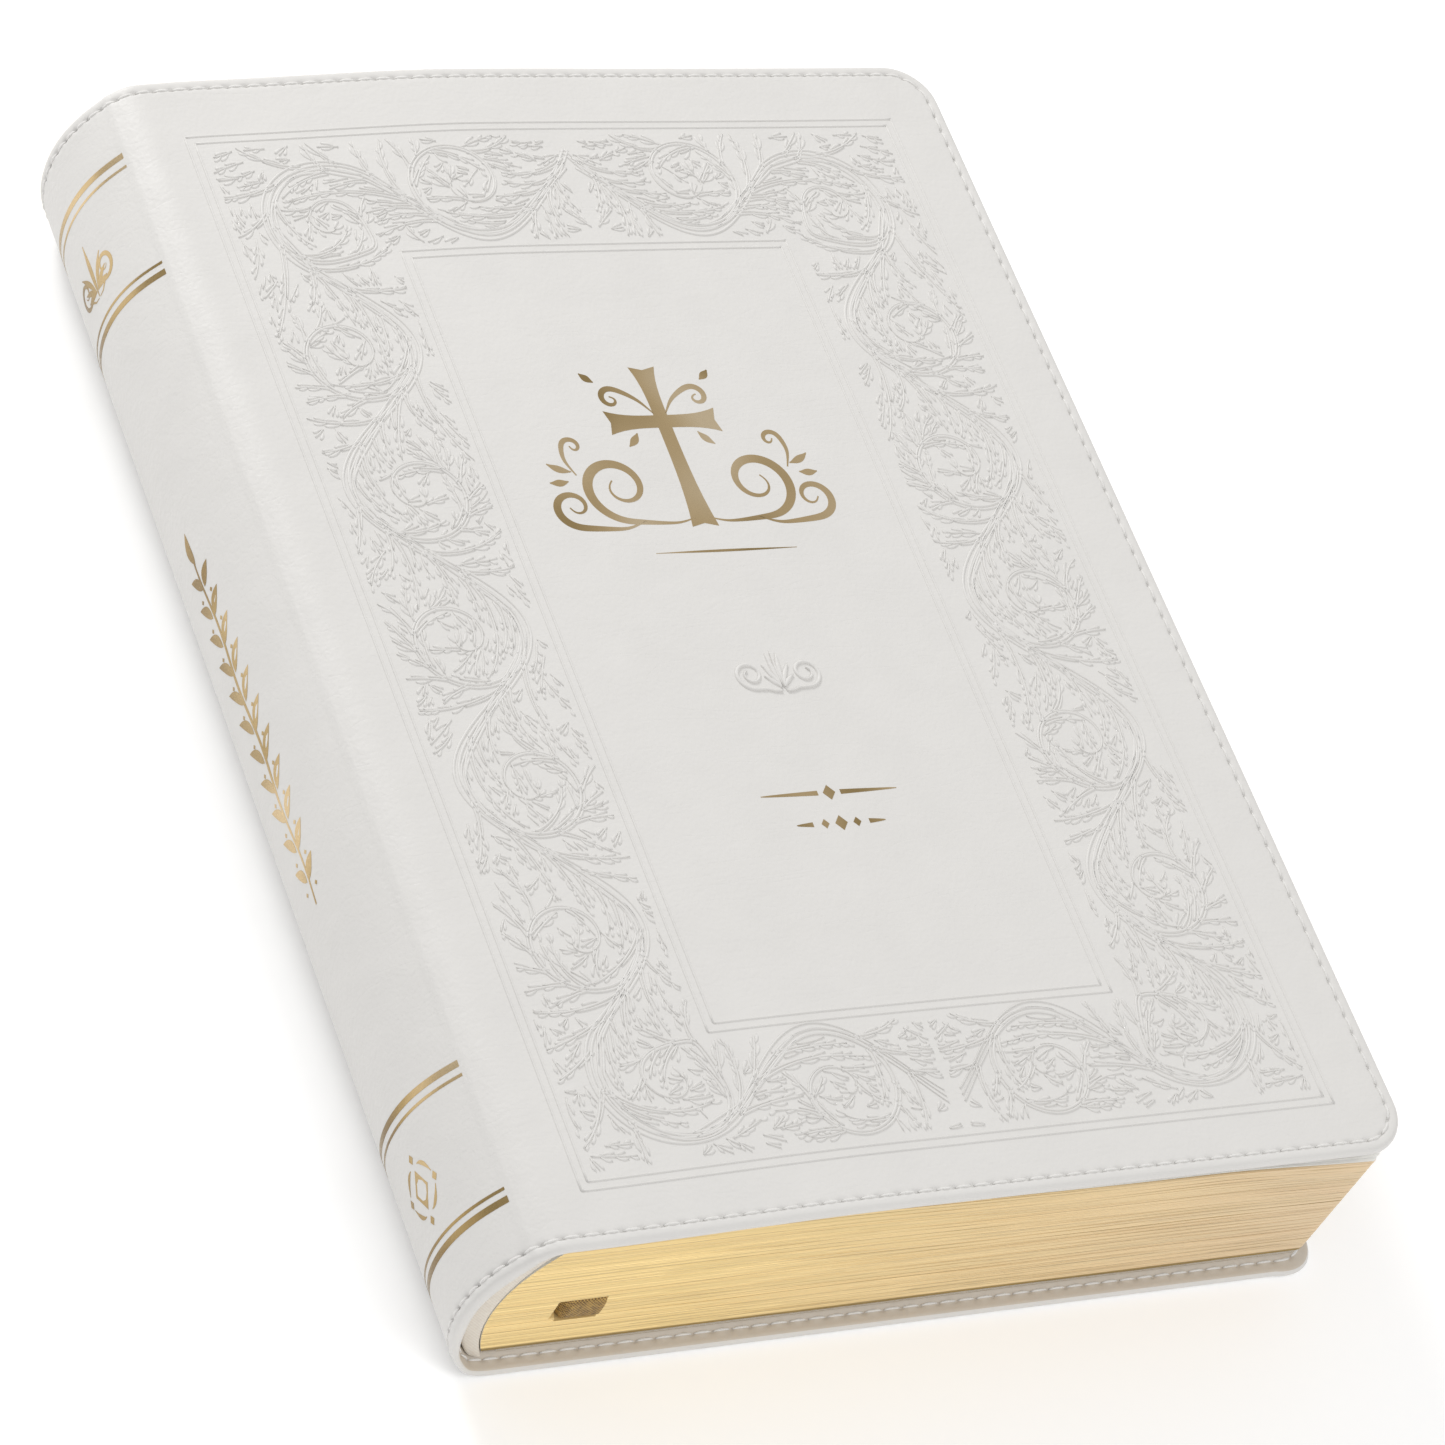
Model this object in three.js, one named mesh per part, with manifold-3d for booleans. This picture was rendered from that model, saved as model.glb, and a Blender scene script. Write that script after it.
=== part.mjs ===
// A full-size bible in a soft white leather cover, closed and lying on its back cover.
// Millimetres. +X points to the fore-edge, +Y to the head and +Z up through the front cover.
// The origin is on the table, under the middle of the book.
import * as THREE from 'three';
import { mergeVertices } from 'three/addons/utils/BufferGeometryUtils.js';
import Module from 'manifold-3d';

const wasm = await Module();
wasm.setup();

// Driving dimensions of the closed book
const HEIGHT = 240;            // head to tail
const WIDTH = 171.6;           // outermost spine to fore-edge
const THICKNESS = 41.4;        // outside of one cover to the outside of the other
const GAP = 0.3;               // clearance between pieces that touch
const CORNER = 9;              // corner radius of the covers

// Cover: skin, board and pastedown share the thickness
const COVER = 2.8;
const SKIN = 0.8;
const BOARD = 1.1;
const PASTEDOWN = 0.4;
const LAYER_GAP = 0.25;
const TURN_IN = 4;             // width of the full-thickness turned edge

// Spine: a round back between two rounded shoulders
const SPINE_RADIUS = 28.1;
const SHOULDER_RADIUS = 8;
const SPINE_WALL = 2.4;
const INLAY = 0.85;
const BACK_CREASE = THREE.MathUtils.degToRad(34);
const CREASE_GAP = 0.25;       // half the slit between cover and spine at a crease

// Thread that runs round the cover edge
const STITCH_INSET = 2.2;
const THREAD_WIDTH = 0.9;
const THREAD_DEPTH = 0.4;

// Small angles at the creases, in radians
const SHOULDER_START = 0.02;   // the shoulder begins inside the flat of the cover
const THREAD_STOP = 0.012;     // the thread ends just short of a crease
const FRONT_THREAD_STOP = 0.05;
const GROOVE_PAST = 0.1;       // the groove for it runs past the crease
const WEDGE = 0.2;             // opening of the tool that trims a crease

// Text block
const FORE_SQUARE = 1.5;       // how far the cover stands past the pages at the fore-edge
const HEAD_SQUARE = 2.6;       // the same at head and tail
const PAGE_CORNER = 1.5;
const FLYLEAF = 0.4;
const SECTIONS = 12;
const TURNING = 3;             // front sections whose leaves turn with the cover
const BLOCK_BACK_RADIUS = 29.4;
const BLOCK_BACK_X = -78.1;    // where the rounded back of the pages stands furthest out
const BLOCK_BACK_Z = 16.7;
const BOTTOM_SECTION_X = -73.6; // the last section is pulled in to clear the back shoulder
const LINING = 2.2;            // the cloth and paper built up on the back of the pages
const LINING_TOP = 34.5;
const LINING_BOTTOM = 5;

// Gutter of the turning leaves: every hinge line lies above the same X
const GUTTER_X = -62;
const LEAF_START = [4.5, 6.7, 9.3];   // from the hinge line to the free part of each section
const FOLD_END = [3.3, 5.8, 8.6];     // from the hinge line to the end of each sewn fold
const BACK_FLYLEAF_HINGE_X = -72;
const FLYLEAF_START = 1;       // from the hinge line to the free part of a flyleaf

// Ribbon marker, doubled back at the tail
const RIBBON_WIDTH = 8;
const RIBBON_X = -61.9;
const RIBBON = 0.4;
const RIBBON_SECTION = 9;
const RIBBON_LOOP = 1.9;       // how far the fold stands out of the pages
const RIBBON_RETURN_Y = -40;   // where the end that is tucked back stops
const RIBBON_HEAD_INSET = 1;

// Wound cords that close the ends of the lining
const BAND_RADIUS = 1;
const BAND_TOP = 33;
const BAND_BOTTOM = 7.5;
const BAND_POINTS = 8;

// Gold cross on the front cover
const CROSS_FOOT_Y = 16;
const CROSS_HEIGHT = 34;
const CROSS_SPAN = 22;
const CROSS_HALF_WIDTH = 1.5;
const CROSS_FLARE = 1.6;       // how much each arm widens towards its end
const CROSS_BAR_SHARE = 0.66;  // height of the bar as a share of the cross
const FOIL = 0.2;
const FOIL_SUNK = 0.05;
const FOIL_RECESS = 0.5;

const TAU = Math.PI * 2;
const OVERLAP = 0.1;           // how far solids that are joined reach into each other
const CLEAR = 1;               // how far a cutting tool runs past what it cuts
const SLIVER = 0.002;          // the same overlap as an angle, on a wall of two arcs

const foreX = WIDTH / 2;
const halfHeight = HEIGHT / 2;
const pageForeX = foreX - FORE_SQUARE;
const pageHalf = halfHeight - HEAD_SQUARE;
const spineCentre = new THREE.Vector2(SPINE_RADIUS - foreX, THICKNESS / 2);
const shoulderRise = THICKNESS / 2 - SHOULDER_RADIUS;
const shoulderReach = SPINE_RADIUS - SHOULDER_RADIUS;
const SHOULDER_ANGLE = Math.asin(shoulderRise / shoulderReach);
const shoulderX = spineCentre.x - shoulderReach * Math.cos(SHOULDER_ANGLE);
const shoulderCentre = new THREE.Vector2(shoulderX, THICKNESS - SHOULDER_RADIUS);

const finish = (color, roughness, metalness = 0) =>
  new THREE.MeshStandardMaterial({ color, roughness, metalness });
const materials = {
  leather: finish(0xe2e0dc, 0.55),
  thread: finish(0xe8e4dc, 0.7),
  board: finish(0x9a8f80, 0.9),
  endpaper: finish(0xf3efe6, 0.85),
  pages: finish(0xe6c67e, 0.45, 0.4),
  lining: finish(0xd8cfbf, 0.9),
  ribbon: finish(0x9a7434, 0.5),
  foil: finish(0xb08d4a, 0.3, 0.9),
};

const book = new THREE.Group();

function add(name, material, geometry) {
  const mesh = new THREE.Mesh(geometry, materials[material]);
  mesh.name = name;
  book.add(mesh);
  return mesh;
}

// ---- solids -------------------------------------------------------------------------------

function toSolid(geometry) {
  const bare = geometry.clone();
  bare.deleteAttribute('normal');
  bare.deleteAttribute('uv');
  const merged = mergeVertices(bare, 1e-4);
  return new wasm.Manifold(new wasm.Mesh({
    numProp: 3,
    vertProperties: new Float32Array(merged.attributes.position.array),
    triVerts: new Uint32Array(merged.index.array),
  }));
}

function toGeometry(solid) {
  const mesh = solid.getMesh();
  const geometry = new THREE.BufferGeometry();
  geometry.setAttribute('position', new THREE.BufferAttribute(mesh.vertProperties, 3));
  geometry.setIndex(new THREE.BufferAttribute(mesh.triVerts, 1));
  geometry.computeVertexNormals();
  return geometry;
}

const overlap = (a, b) => toGeometry(toSolid(a).intersect(toSolid(b)));
const join = (...shapes) => toGeometry(shapes.map(toSolid).reduce((a, b) => a.add(b)));
const cut = (body, ...tools) =>
  toGeometry(tools.map(toSolid).reduce((a, b) => a.subtract(b), toSolid(body)));

// A flat shape lying in X-Y, extruded from z0 up to z1
function slab(shape, z0, z1) {
  const geometry = new THREE.ExtrudeGeometry(shape, {
    depth: z1 - z0, bevelEnabled: false, curveSegments: 4,
  });
  return geometry.translate(0, 0, z0);
}

// A section drawn in X-Z, extruded along Y from y0 to y1
function run(shape, y0, y1, curveSegments = 8) {
  const geometry = new THREE.ExtrudeGeometry(shape, {
    depth: y1 - y0, bevelEnabled: false, curveSegments,
  });
  return geometry.rotateX(Math.PI / 2).translate(0, y1, 0);
}

// The outline of a cover or a leaf: square at the spine, round at the fore-edge corners
function leafOutline(x0, x1, half, radius) {
  const shape = new THREE.Shape();
  shape.moveTo(x0, -half);
  shape.lineTo(x1 - radius, -half);
  shape.absarc(x1 - radius, radius - half, radius, -Math.PI / 2, 0, false);
  shape.lineTo(x1, half - radius);
  shape.absarc(x1 - radius, half - radius, radius, 0, Math.PI / 2, false);
  shape.lineTo(x0, half);
  shape.closePath();
  return shape;
}

function rectangle(x0, x1, z0, z1) {
  const shape = new THREE.Shape();
  shape.moveTo(x0, z0);
  shape.lineTo(x1, z0);
  shape.lineTo(x1, z1);
  shape.lineTo(x0, z1);
  shape.closePath();
  return shape;
}

// A curved wall between two radii, from angle a0 to a1, anticlockwise
function arcWall(centre, inner, outer, a0, a1) {
  const shape = new THREE.Shape();
  shape.absarc(centre.x, centre.y, outer, a0, a1, false);
  shape.lineTo(centre.x + inner * Math.cos(a1), centre.y + inner * Math.sin(a1));
  shape.absarc(centre.x, centre.y, inner, a1, a0, true);
  shape.closePath();
  return shape;
}

// A half turn about the X axis at mid thickness: what is made as a front cover becomes a back
const turnOver = (geometry) => geometry.rotateX(Math.PI).translate(0, 0, THICKNESS);

// ---- covers -------------------------------------------------------------------------------

// Sections through the rounded shoulder, from the flat cover down to the crease.
// depthIn and depthOut are measured inwards from the outer surface.
function shoulderSections(crease, depthIn, depthOut) {
  const sections = [arcWall(shoulderCentre, SHOULDER_RADIUS - depthIn,
    SHOULDER_RADIUS - depthOut, Math.PI / 2 - SHOULDER_START, Math.PI - SHOULDER_ANGLE)];
  if (crease < SHOULDER_ANGLE) {
    sections.push(arcWall(spineCentre, SPINE_RADIUS - depthIn, SPINE_RADIUS - depthOut,
      Math.PI - SHOULDER_ANGLE - SLIVER, Math.PI - crease));
  }
  return sections;
}

// The line of stitching: along head, fore-edge and tail, and down both shoulders
function stitchLine(crease, width, depth, proud) {
  const reach = width / 2 - STITCH_INSET;
  const outer = slab(leafOutline(shoulderX - OVERLAP, foreX + reach, halfHeight + reach,
    CORNER + reach), THICKNESS - depth, THICKNESS + proud);
  const inner = slab(leafOutline(shoulderX - CLEAR, foreX + reach - width,
    halfHeight + reach - width, CORNER + reach - width), THICKNESS - depth - CLEAR,
    THICKNESS + proud + CLEAR);
  const edge = cut(outer, inner);
  const drops = [];
  for (const side of [-1, 1]) {
    const y = side * (halfHeight - STITCH_INSET);
    for (const section of shoulderSections(crease, depth, -proud)) {
      drops.push(run(section, y - width / 2, y + width / 2));
    }
  }
  return join(edge, ...drops);
}

// A Latin cross with widened ends, grown all round by grow
function foilCross(grow) {
  const w = CROSS_HALF_WIDTH + grow;
  const f = CROSS_HALF_WIDTH + CROSS_FLARE + grow;
  const top = CROSS_FOOT_Y + CROSS_HEIGHT + grow;
  const bottom = CROSS_FOOT_Y - grow;
  const arm = CROSS_SPAN / 2 + grow;
  const bar = CROSS_FOOT_Y + CROSS_HEIGHT * CROSS_BAR_SHARE;
  const points = [[-f, bottom], [f, bottom], [w, bar - w], [arm, bar - f], [arm, bar + f],
    [w, bar + w], [f, top], [-f, top], [-w, bar + w], [-arm, bar + f], [-arm, bar - f],
    [-w, bar - w]];
  return new THREE.Shape(points.map(([x, y]) => new THREE.Vector2(x, y)));
}

function coverSkin(crease, recesses) {
  const panel = slab(leafOutline(shoulderX, foreX, halfHeight, CORNER),
    THICKNESS - COVER, THICKNESS);
  const slit = CREASE_GAP / SHOULDER_RADIUS;
  const stop = crease < SHOULDER_ANGLE ? crease + CREASE_GAP / SPINE_RADIUS : crease;
  const shoulders = shoulderSections(stop, COVER, 0).map((s) => run(s, -halfHeight, halfHeight));
  const body = join(panel, ...shoulders);
  const pocket = slab(leafOutline(shoulderX + TURN_IN, foreX - TURN_IN, halfHeight - TURN_IN,
    CORNER - TURN_IN), THICKNESS - COVER - CLEAR, THICKNESS - SKIN);
  const groove = stitchLine(crease - GROOVE_PAST, THREAD_WIDTH + 2 * LAYER_GAP,
    THREAD_DEPTH + LAYER_GAP, CLEAR);
  const slitWedge = crease < SHOULDER_ANGLE ? [] : [run(arcWall(shoulderCentre, CLEAR,
    SHOULDER_RADIUS + CLEAR, Math.PI - crease - slit, Math.PI - crease + WEDGE),
    -halfHeight - CLEAR, halfHeight + CLEAR)];
  return cut(body, pocket, groove, ...slitWedge, ...recesses);
}

function coverLayer(depth, thickness) {
  const inset = TURN_IN + GAP;
  return slab(leafOutline(shoulderX + inset, foreX - inset, halfHeight - inset,
    CORNER - inset), THICKNESS - depth - thickness, THICKNESS - depth);
}

const boardDepth = SKIN + LAYER_GAP;
const pastedownDepth = boardDepth + BOARD + LAYER_GAP;

const foilRecess = slab(foilCross(GAP), THICKNESS - FOIL_RECESS, THICKNESS + CLEAR);
add('front_cover_leather', 'leather', coverSkin(SHOULDER_ANGLE, [foilRecess]));
add('front_cover_board', 'board', coverLayer(boardDepth, BOARD));
add('front_pastedown', 'endpaper', coverLayer(pastedownDepth, PASTEDOWN));
const frontThread = stitchLine(SHOULDER_ANGLE, THREAD_WIDTH, THREAD_DEPTH, 0);
const frontThreadEnd = run(arcWall(shoulderCentre, CLEAR, SHOULDER_RADIUS + CLEAR,
  Math.PI - SHOULDER_ANGLE - FRONT_THREAD_STOP, Math.PI - SHOULDER_ANGLE + WEDGE),
  -halfHeight, halfHeight);
add('front_cover_stitching', 'thread', cut(frontThread, frontThreadEnd));
add('front_foil_cross', 'foil',
  slab(foilCross(0), THICKNESS - FOIL_SUNK - FOIL, THICKNESS - FOIL_SUNK));

add('back_cover_leather', 'leather', turnOver(coverSkin(BACK_CREASE, [])));
add('back_cover_board', 'board', turnOver(coverLayer(boardDepth, BOARD)));
add('back_pastedown', 'endpaper', turnOver(coverLayer(pastedownDepth, PASTEDOWN)));
add('back_cover_stitching', 'thread',
  turnOver(stitchLine(BACK_CREASE + THREAD_STOP, THREAD_WIDTH, THREAD_DEPTH, 0)));

// ---- spine of the cover -------------------------------------------------------------------

const spineSlit = CREASE_GAP / SPINE_RADIUS;
const spineStart = Math.PI - SHOULDER_ANGLE + spineSlit;
const spineEnd = Math.PI + BACK_CREASE - spineSlit;

function spineWall(depthIn, depthOut, y0, y1, trim = 0) {
  return run(arcWall(spineCentre, SPINE_RADIUS - depthIn, SPINE_RADIUS - depthOut,
    spineStart + trim, spineEnd - trim), y0, y1, 12);
}

const rimY = halfHeight - TURN_IN;
const threadY = halfHeight - STITCH_INSET;
const grooveHalf = THREAD_WIDTH / 2 + LAYER_GAP;
const spineGrooves = [-1, 1].map((side) => spineWall(THREAD_DEPTH + LAYER_GAP, -CLEAR,
  side * threadY - grooveHalf, side * threadY + grooveHalf, -WEDGE));
const spineBody = join(spineWall(SKIN, 0, -halfHeight, halfHeight),
  spineWall(SPINE_WALL, 0, rimY, halfHeight), spineWall(SPINE_WALL, 0, -halfHeight, -rimY));
add('spine_leather', 'leather', cut(spineBody, ...spineGrooves));
add('spine_inlay', 'board', spineWall(SKIN + LAYER_GAP + INLAY, SKIN + LAYER_GAP,
  GAP - rimY, rimY - GAP, THREAD_STOP));
add('spine_head_stitching', 'thread', spineWall(THREAD_DEPTH, 0,
  threadY - THREAD_WIDTH / 2, threadY + THREAD_WIDTH / 2, THREAD_STOP));
add('spine_tail_stitching', 'thread', spineWall(THREAD_DEPTH, 0,
  -threadY - THREAD_WIDTH / 2, -threadY + THREAD_WIDTH / 2, THREAD_STOP));

// ---- endpapers that turn ------------------------------------------------------------------

const coverInnerZ = THICKNESS - COVER;
const frontFlyleafZ = coverInnerZ - GAP - FLYLEAF;
add('front_flyleaf', 'endpaper', slab(leafOutline(GUTTER_X + FLYLEAF_START, pageForeX, pageHalf,
  PAGE_CORNER), frontFlyleafZ, frontFlyleafZ + FLYLEAF));
const backFlyleafZ = COVER + GAP;
add('back_flyleaf', 'endpaper', slab(leafOutline(BACK_FLYLEAF_HINGE_X + FLYLEAF_START, pageForeX,
  pageHalf, PAGE_CORNER), backFlyleafZ, backFlyleafZ + FLYLEAF));

// ---- text block: sections of folded and sewn leaves, number 1 on top ---------------------

const blockTop = frontFlyleafZ - GAP;
const blockBottom = backFlyleafZ + FLYLEAF + GAP;
const pitch = (blockTop - blockBottom + GAP) / SECTIONS;
const sectionThickness = pitch - GAP;
const backCentre = new THREE.Vector2(BLOCK_BACK_X + BLOCK_BACK_RADIUS, BLOCK_BACK_Z);

const backX = (z) => backCentre.x
  - Math.sqrt(BLOCK_BACK_RADIUS ** 2 - (z - backCentre.y) ** 2);

// Profile of the doubled ribbon in Y-Z, drawn as a hairpin, extruded across its width
function ribbonSolid(topZ) {
  const layer = RIBBON + GAP;
  const turnY = -pageHalf - RIBBON_LOOP + layer;
  const centreZ = topZ - RIBBON - GAP / 2;
  const outer = RIBBON + GAP / 2;
  const shape = new THREE.Shape();
  shape.moveTo(pageHalf - RIBBON_HEAD_INSET, centreZ + outer);
  shape.lineTo(turnY, centreZ + outer);
  shape.absarc(turnY, centreZ, outer, Math.PI / 2, Math.PI * 1.5, false);
  shape.lineTo(RIBBON_RETURN_Y, centreZ - outer);
  shape.lineTo(RIBBON_RETURN_Y, centreZ - GAP / 2);
  shape.lineTo(turnY, centreZ - GAP / 2);
  shape.absarc(turnY, centreZ, GAP / 2, Math.PI * 1.5, Math.PI / 2, true);
  shape.lineTo(pageHalf - RIBBON_HEAD_INSET, centreZ + GAP / 2);
  shape.closePath();
  const geometry = new THREE.ExtrudeGeometry(shape, {
    depth: RIBBON_WIDTH, bevelEnabled: false, curveSegments: 4,
  });
  // drawn Y-Z, extruded along X: (a, b, c) becomes (c, a, b)
  geometry.rotateX(Math.PI / 2).rotateZ(Math.PI / 2);
  return geometry.translate(RIBBON_X - RIBBON_WIDTH / 2, 0, 0);
}

for (let number = 1; number <= SECTIONS; number += 1) {
  const top = blockTop - (number - 1) * pitch;
  const bottom = top - sectionThickness;
  const label = `section_${String(number).padStart(2, '0')}`;
  let left = Math.max(backX(top), backX(bottom));
  if (number === SECTIONS) left = BOTTOM_SECTION_X;
  if (number <= TURNING) {
    const foldEnd = GUTTER_X + FOLD_END[number - 1];
    const leafStart = GUTTER_X + LEAF_START[number - 1];
    add(`${label}_sewn_fold`, 'pages',
      run(rectangle(left, foldEnd, bottom, top), -pageHalf, pageHalf));
    add(`${label}_leaves`, 'pages',
      slab(leafOutline(leafStart, pageForeX, pageHalf, PAGE_CORNER), bottom, top));
  } else {
    const pages = slab(leafOutline(left, pageForeX, pageHalf, PAGE_CORNER), bottom, top);
    if (number === RIBBON_SECTION) {
      const halfSlot = RIBBON_WIDTH / 2 + GAP;
      const slotDepth = 2 * RIBBON + 2 * GAP;
      const slot = run(rectangle(RIBBON_X - halfSlot, RIBBON_X + halfSlot, top - slotDepth,
        top + CLEAR), -pageHalf - CLEAR, pageHalf + CLEAR);
      add(label, 'pages', cut(pages, slot));
      add('ribbon_marker', 'ribbon', ribbonSolid(top));
    } else {
      add(label, 'pages', pages);
    }
  }
}

// ---- what holds the back of the pages -----------------------------------------------------

const liningInner = BLOCK_BACK_RADIUS + GAP;
const liningOuter = liningInner + LINING;
const liningHalf = pageHalf - 2 * BAND_RADIUS;
const angleAt = (z, radius) => Math.PI - Math.asin((z - backCentre.y) / radius);
const liningWall = run(arcWall(backCentre, liningInner, liningOuter,
  angleAt(LINING_TOP, liningOuter), angleAt(LINING_BOTTOM, liningOuter)),
  -liningHalf, liningHalf, 16);
const insideSpine = new THREE.Shape();
insideSpine.absarc(spineCentre.x, spineCentre.y, SPINE_RADIUS - COVER - GAP, 0, TAU, false);
add('spine_lining', 'lining',
  overlap(liningWall, run(insideSpine, -halfHeight, halfHeight, 32)));

function endBand(y) {
  const radius = liningInner + LINING / 2;
  const points = [];
  for (let i = 0; i <= BAND_POINTS; i += 1) {
    const angle = THREE.MathUtils.lerp(angleAt(BAND_TOP, radius), angleAt(BAND_BOTTOM, radius),
      i / BAND_POINTS);
    points.push(new THREE.Vector3(backCentre.x + radius * Math.cos(angle), y,
      backCentre.y + radius * Math.sin(angle)));
  }
  const section = new THREE.Shape();
  section.absarc(0, 0, BAND_RADIUS, 0, TAU, false);
  return new THREE.ExtrudeGeometry(section, {
    steps: 2 * BAND_POINTS, curveSegments: 4, bevelEnabled: false,
    extrudePath: new THREE.CatmullRomCurve3(points),
  });
}

const bandY = liningHalf + GAP + BAND_RADIUS;
add('headband', 'lining', endBand(bandY));
add('tailband', 'lining', endBand(-bandY));

export default book;
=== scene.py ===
"""The looks of a full-size bible in a soft white leather cover, built round its CAD frame.

Shapes are worked out in millimetres in the frame of the part: +X to the fore-edge, +Y to the
head and +Z up through the front cover. The leather is laid out flat as (s, y), where s is the
distance along the outside of the cover from the front fore-edge, and then wrapped round.
"""

import math
import random

import bmesh
import bpy
import numpy as np
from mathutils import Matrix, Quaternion, Vector


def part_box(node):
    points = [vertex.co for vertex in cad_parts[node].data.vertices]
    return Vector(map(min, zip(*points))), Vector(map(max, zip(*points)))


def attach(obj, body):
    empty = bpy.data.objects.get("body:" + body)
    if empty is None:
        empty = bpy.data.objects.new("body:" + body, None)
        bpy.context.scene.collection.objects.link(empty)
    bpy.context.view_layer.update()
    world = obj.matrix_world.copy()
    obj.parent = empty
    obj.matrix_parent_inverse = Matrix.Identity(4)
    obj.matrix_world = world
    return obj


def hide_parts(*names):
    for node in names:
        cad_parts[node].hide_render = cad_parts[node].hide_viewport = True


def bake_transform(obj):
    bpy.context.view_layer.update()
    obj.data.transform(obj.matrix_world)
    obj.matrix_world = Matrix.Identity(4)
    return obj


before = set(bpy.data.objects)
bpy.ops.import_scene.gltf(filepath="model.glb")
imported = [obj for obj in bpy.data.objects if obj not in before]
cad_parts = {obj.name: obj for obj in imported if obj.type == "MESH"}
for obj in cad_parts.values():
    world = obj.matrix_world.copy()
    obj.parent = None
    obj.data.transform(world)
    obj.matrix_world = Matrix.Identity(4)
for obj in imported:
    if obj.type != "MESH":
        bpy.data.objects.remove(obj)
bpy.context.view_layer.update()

MM = 0.001
scene = bpy.context.scene


# ---- sizes --------------------------------------------------------------------------------

def box_mm(node):
    low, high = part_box(node)
    return np.array(low) / MM, np.array(high) / MM


COVER_HIGH = box_mm("front_cover_leather")[1]
SPINE_LOW = box_mm("spine_leather")[0]
FORE_X, HALF, THICK = COVER_HIGH
SPINE_RADIUS = 28.1
SHOULDER_RADIUS = 8.0
CORNER = 9.0
LIP = 2.8                  # thickness of the turned edge of the cover
EDGE = 1.9                 # the same at its rim, pinched by the stitches
WALL_RADIUS = 25.0         # inside of the spine, short of the turned edge
SKIN = 0.8
TURN_IN = 4.0
STITCH_INSET = 2.2
BACK_CREASE = math.radians(34)
BACK_LONGER = 1.8          # how far the soft back cover reaches past the front one
BACK_CORNER_OUT = 1.5      # and how far its less rounded corners reach out

SPINE_CENTRE = np.array((SPINE_LOW[0] + SPINE_RADIUS, THICK / 2))
SHOULDER_RISE = THICK / 2 - SHOULDER_RADIUS
SHOULDER_REACH = SPINE_RADIUS - SHOULDER_RADIUS
SHOULDER_ANGLE = math.asin(SHOULDER_RISE / SHOULDER_REACH)
SHOULDER_X = SPINE_CENTRE[0] - SHOULDER_REACH * math.cos(SHOULDER_ANGLE)

PANEL = FORE_X - SHOULDER_X
SHOULDER_RUN = SHOULDER_RADIUS * (math.pi / 2 - SHOULDER_ANGLE)
CREASE = PANEL + SHOULDER_RUN
SEAM = CREASE + SPINE_RADIUS * SHOULDER_ANGLE

STITCHES = {"side": 50, "corner": 3, "fore": 63}     # along each stretch of the edge
STEPS = 4                  # mesh columns in a stitch
COLUMN = (SEAM - CORNER) / (STITCHES["side"] * STEPS)
FOLD_S = SEAM - COLUMN * math.ceil((SEAM - CREASE) / COLUMN)   # a column beside the fold
FOLD_RIDGE = 0.24          # how high the leather stands up in a thin line there
FOLD_RIDGE_WIDTH = 0.5
BACK_CREASE_S = SEAM - SPINE_RADIUS * BACK_CREASE

PAGE_HIGH = box_mm("section_04")[1]
PAGE_FORE_X, PAGE_HALF = PAGE_HIGH[0], PAGE_HIGH[1]
PAGE_CORNER = 1.5
BLOCK_TOP = box_mm("section_01_leaves")[1][2]
BLOCK_BOTTOM = box_mm("section_12")[0][2]
SECTIONS = 12
PITCH = BLOCK_TOP - box_mm("section_02_leaves")[1][2]
BACK_RADIUS = 29.4
BACK_CENTRE = np.array((-48.7, 16.7))


# ---- camera, light and floor ----------------------------------------------------------------

CAMERA_PLACE = Vector((-493.45, -500.82, 748.33))
CAMERA_AIM = Vector((0.49186, 0.48600, -0.72241))
CAMERA_ROLL = math.radians(32.39)
WORLD_LIGHT = 0.62
FLOOR_HALF = 6             # metres
FLOOR_Z = -0.0002


def make_camera():
    """The camera, placed in millimetres and rolled about its own line of sight."""
    data = bpy.data.cameras.new("camera")
    data.sensor_width = 36
    data.lens = 145.7
    data.clip_end = 20
    camera = bpy.data.objects.new("camera", data)
    camera.location = CAMERA_PLACE * MM
    camera.rotation_mode = "QUATERNION"
    level = CAMERA_AIM.to_track_quat("-Z", "Y")
    camera.rotation_quaternion = level @ Quaternion((0, 0, 1), CAMERA_ROLL)
    scene.collection.objects.link(camera)
    scene.camera = camera


def area_light(name, place, size, power):
    """A square white light, aimed at the middle of the scene."""
    data = bpy.data.lights.new(name, "AREA")
    data.shape = "RECTANGLE"
    data.size = size
    data.size_y = size
    data.energy = power
    light = bpy.data.objects.new(name, data)
    light.location = place
    light.rotation_mode = "QUATERNION"
    light.rotation_quaternion = (-Vector(place)).to_track_quat("-Z", "Y")
    scene.collection.objects.link(light)


def make_studio():
    """An even white surround, a soft light from the front and a low one across the relief."""
    world = bpy.data.worlds.new("studio")
    world.use_nodes = True
    background = world.node_tree.nodes["Background"]
    background.inputs["Color"].default_value = (1, 1, 1, 1)
    background.inputs["Strength"].default_value = WORLD_LIGHT
    scene.world = world
    area_light("front", (0.2, -0.75, 1.1), 0.8, 5.6)
    area_light("rake", (-0.3, 1.0, 0.6), 0.3, 7.6)
    scene.view_settings.view_transform = "Standard"


# ---- materials ------------------------------------------------------------------------------

def scaled(colour, factor):
    return tuple(min(1.0, factor * c) for c in colour)


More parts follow.
